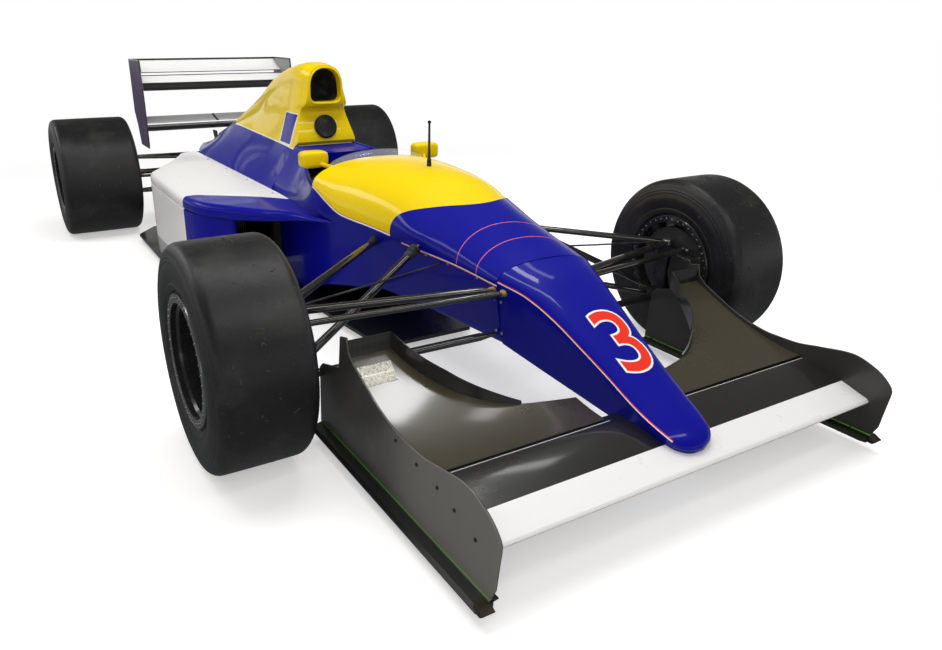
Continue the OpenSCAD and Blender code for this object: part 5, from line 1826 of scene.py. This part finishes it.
def world():
    """White to the camera, a soft room in reflections and a dim even light elsewhere."""
    w = bpy.data.worlds.new("studio")
    bpy.context.scene.world = w
    w.use_nodes = True
    nodes, links = w.node_tree.nodes, w.node_tree.links
    nodes.clear()
    out = nodes.new("ShaderNodeOutputWorld")
    ambient = nodes.new("ShaderNodeBackground")
    ambient.inputs[0].default_value = (0.90, 0.92, 1.0, 1)
    ambient.inputs[1].default_value = 0.30
    seen = nodes.new("ShaderNodeBackground")
    seen.inputs[0].default_value = (1, 1, 1, 1)
    seen.inputs[1].default_value = 1.0
    room = nodes.new("ShaderNodeBackground")
    coords = nodes.new("ShaderNodeTexCoord")
    split = nodes.new("ShaderNodeSeparateXYZ")
    links.new(coords.outputs["Generated"], split.inputs[0])
    ramp = nodes.new("ShaderNodeValToRGB")
    links.new(split.outputs[2], ramp.inputs[0])
    stops = ((0.0, (0.92, 0.92, 0.92)), (0.10, (0.80, 0.80, 0.80)), (0.22, (0.28, 0.28, 0.27)),
             (0.40, (0.10, 0.098, 0.092)), (1.0, (0.12, 0.118, 0.112)))
    while len(ramp.color_ramp.elements) < len(stops):
        ramp.color_ramp.elements.new(0.5)
    for dot, (place, color) in zip(ramp.color_ramp.elements, stops):
        dot.position = place
        dot.color = (*color, 1)
    links.new(ramp.outputs[0], room.inputs[0])
    path = nodes.new("ShaderNodeLightPath")
    mix1, mix2 = nodes.new("ShaderNodeMixShader"), nodes.new("ShaderNodeMixShader")
    links.new(path.outputs["Is Glossy Ray"], mix1.inputs[0])
    links.new(ambient.outputs[0], mix1.inputs[1])
    links.new(room.outputs[0], mix1.inputs[2])
    clear = nodes.new("ShaderNodeMath")
    clear.operation = "MAXIMUM"
    links.new(path.outputs["Is Camera Ray"], clear.inputs[0])
    links.new(path.outputs["Is Transmission Ray"], clear.inputs[1])
    links.new(clear.outputs[0], mix2.inputs[0])
    links.new(mix1.outputs[0], mix2.inputs[1])
    links.new(seen.outputs[0], mix2.inputs[2])
    links.new(mix2.outputs[0], out.inputs[0])


def lamp(name, place, target, size, power, color=(1, 1, 1), mirrored_in_gloss=True):
    """Rectangular lamp aimed at a target; it may be kept out of reflections."""
    data = bpy.data.lights.new(name, "AREA")
    data.shape = "RECTANGLE"
    data.size, data.size_y = size
    data.energy = power
    data.color = color
    ob = bpy.data.objects.new(name, data)
    ob.location = place
    ob.rotation_euler = (Vector(target) - Vector(place)).to_track_quat("-Z", "Y").to_euler()
    ob.visible_glossy = mirrored_in_gloss
    bpy.context.scene.collection.objects.link(ob)
    return ob


def studio():
    bpy.context.scene.view_settings.view_transform = "Standard"
    camera()
    floor()
    world()
    lamp("overhead", (0.2, 0.0, 4.6), (0, 0, 0), (4.0, 6.0), 158, mirrored_in_gloss=False)
    lamp("front_soft", (-2.6, -5.2, 3.4), (0, -0.8, 0.3), (3.0, 2.2), 74, (1.0, 0.99, 0.97), False)
    lamp("side_soft", (5.2, 0.4, 2.9), (0, 0, 0.4), (4.0, 1.6), 52, (0.97, 0.98, 1.0), False)
    lamp("rear_strip", (-3.8, 3.2, 3.4), (0, 0.8, 0.4), (4.5, 0.9), 45)
    lamp("wing_glint", (1.25, -0.25, 4.1), (-0.5, -1.6, 0.2), (0.55, 0.55), 11)
    lamp("nose_strip", (-0.9, -0.6, 4.0), (0, -1.0, 0.4), (0.25, 4.5), 30)
    lamp("plane_glint", (2.15, 0.05, 3.7), (-0.45, -1.98, 0.19), (0.7, 0.25), 2)
    lamp("cross_strip", (0.4, -3.4, 3.4), (0, -0.8, 0.4), (4.5, 0.22), 22)


# ---------------------------------------------------------------- pieces kept from the CAD frame

def carried_over():
    finishes = {
        "driver_seat": DARK_CARBON, "steering_wheel": BLACK_PAD, "steering_column": BARE_METAL,
        "engine_block": BARE_METAL, "gearbox": GEAR_CASE, "rain_light": RED_PAINT,
        "radiators": satin("radiator_core", (0.10, 0.10, 0.11), 0.5, 0.7, grain=1500),
        "floor_panel": DARK_CARBON, "diffuser": DARK_CARBON, "rear_wing_posts": BLACK_METAL,
        "left_front_upright": BLACK_METAL, "right_front_upright": BLACK_METAL,
        "rear_wishbones": TUBE_STEEL, "rear_uprights": BLACK_METAL}
    for node, material in finishes.items():
        ob = frame["nodes"][node]
        ob.data.materials.clear()
        ob.data.materials.append(material)


nose_skin = nose()
tub()
covers()
engine_cover()
intake()
headrest()
pods()
front_wing()
flaps()
front_plates()
rear_wings()
wheels()
suspension()
uprights()
mirrors()
antenna()
screen()
race_numbers(nose_skin)
body_studs()
plate_studs()
foil_patch()
radiator_fins()
case_ribs()
drive_shafts()
carried_over()
studio()
